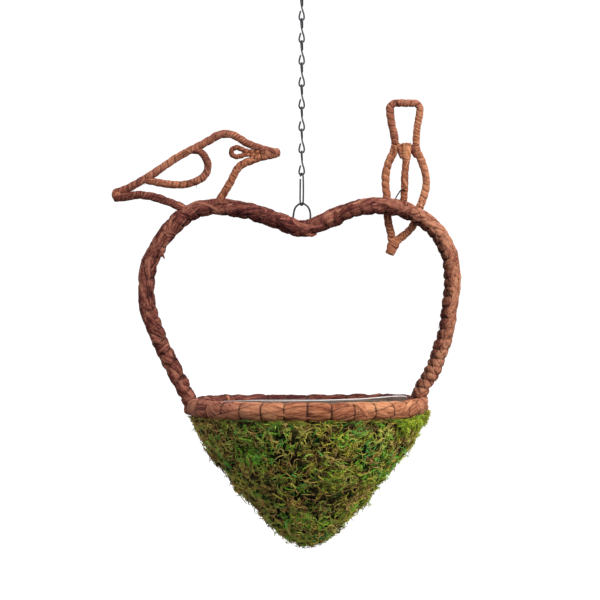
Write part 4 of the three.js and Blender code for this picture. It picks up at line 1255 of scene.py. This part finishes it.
# ---- stage ----
def make_floor():
    size, gap = 60.0, 0.35
    bpy.ops.mesh.primitive_grid_add(x_subdivisions=8, y_subdivisions=8, size=size,
                                    location=(0, 0, CAD_BOX[0].z - gap))
    floor = bpy.context.object
    floor.name = "floor"
    floor.data.materials.append(floor_material())
    floor.visible_diffuse = False
    floor.visible_glossy = False


def turned_to(place, target, axis):
    """The rotation that points an axis of something at a place to the target."""
    return (Vector(target) - Vector(place)).to_track_quat(axis, "Y").to_euler()


def make_card():
    """A grey card in front at the left keeps light off that side, out of the picture."""
    look = new_look("grey_card")
    look.surface(colour=(0.10, 0.10, 0.10), roughness=1.0)
    bpy.ops.mesh.primitive_grid_add(x_subdivisions=4, y_subdivisions=4, size=1)
    card = bpy.context.object
    card.name = "card"
    card.location = (-2.9, -3.1, 0.75)
    card.scale = (7.0, 3.2, 1)
    card.rotation_euler = turned_to(card.location, (0, 0, -0.35), "Z")
    card.data.materials.append(look.owner)
    card.visible_camera = False


def make_world():
    """White above the horizon, so that nothing is dark round the object, and grey below."""
    look = Look(bpy.data.worlds.new("studio"), "Background")
    bpy.context.scene.world = look.owner
    height = look.add("SeparateXYZ", {0: look.add("TexCoord")["Generated"]})[2]
    rise = look.maths("ADD", look.maths("MULTIPLY", height, 0.5), 0.5)
    shade = look.ramp(rise, (0.0, (0.16, 0.16, 0.17)), (0.40, (0.30, 0.30, 0.31)),
                      (0.47, (1.0, 1.0, 1.0)), (1.0, (1.0, 1.0, 1.0)))
    look.put(look.shader.inputs[0], shade)
    look.put(look.shader.inputs[1], 1.05)


def make_lamp(name, place, size, energy):
    lamp = bpy.data.lights.new(name, "AREA")
    lamp.size = size
    lamp.energy = energy
    light = bpy.data.objects.new(name, lamp)
    light.location = place
    light.rotation_euler = turned_to(place, (0, 0, -0.45), "-Z")
    bpy.context.collection.objects.link(light)


# ---- assembly ----
make_camera()

# Bark colours, as (dark, middle, light), linear.
FRAME_COOL = ((0.060, 0.011, 0.011), (0.210, 0.057, 0.043), (0.390, 0.145, 0.105))
FRAME_WARM = ((0.085, 0.022, 0.014), (0.330, 0.112, 0.062), (0.560, 0.245, 0.140))
RIM_WARM = ((0.12, 0.032, 0.014), (0.41, 0.140, 0.062), (0.66, 0.300, 0.150))
BIRD_COOL = ((0.065, 0.016, 0.013), (0.220, 0.065, 0.048), (0.390, 0.155, 0.110))
BIRD_WARM = ((0.140, 0.034, 0.013), (0.500, 0.175, 0.080), (0.740, 0.340, 0.175))
frame_look = bark_material("frame_bark", FRAME_COOL, FRAME_WARM)
rim_look = bark_material("rim_bark", FRAME_COOL, RIM_WARM)
bird_look = bark_material("bird_bark", BIRD_COOL, BIRD_WARM)
chain_steel = steel_material("chain_steel", (0.085, 0.088, 0.10), 0.36)
rod_steel = steel_material("rod_steel", (0.24, 0.21, 0.19), 0.5, 0.2)
tie_iron = steel_material("tie_iron", (0.035, 0.022, 0.018), 0.55, 0.3)
lashing_iron = steel_material("lashing_iron", (0.13, 0.055, 0.038), 0.6, 0.2)

make_frame(frame_look)
make_rim(rim_look)
make_lashings(lashing_iron)
make_left_bird(bird_look)
make_right_bird(bird_look)
make_ties(tie_iron)
make_chain(chain_steel)
make_hook(chain_steel)
make_hanger(chain_steel)
make_moss_bed(moss_bed_material())
make_moss(moss_material())
make_film(film_material())
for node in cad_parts.values():
    if not node.hide_render:
        for place in node.material_slots:
            place.material = rod_steel
make_floor()
make_card()
make_world()
make_lamp("key", (1.6, -1.9, 1.4), 1.2, 66)
make_lamp("fill", (-1.7, -2.2, 0.5), 1.6, 5)
bpy.context.scene.view_settings.view_transform = "Standard"
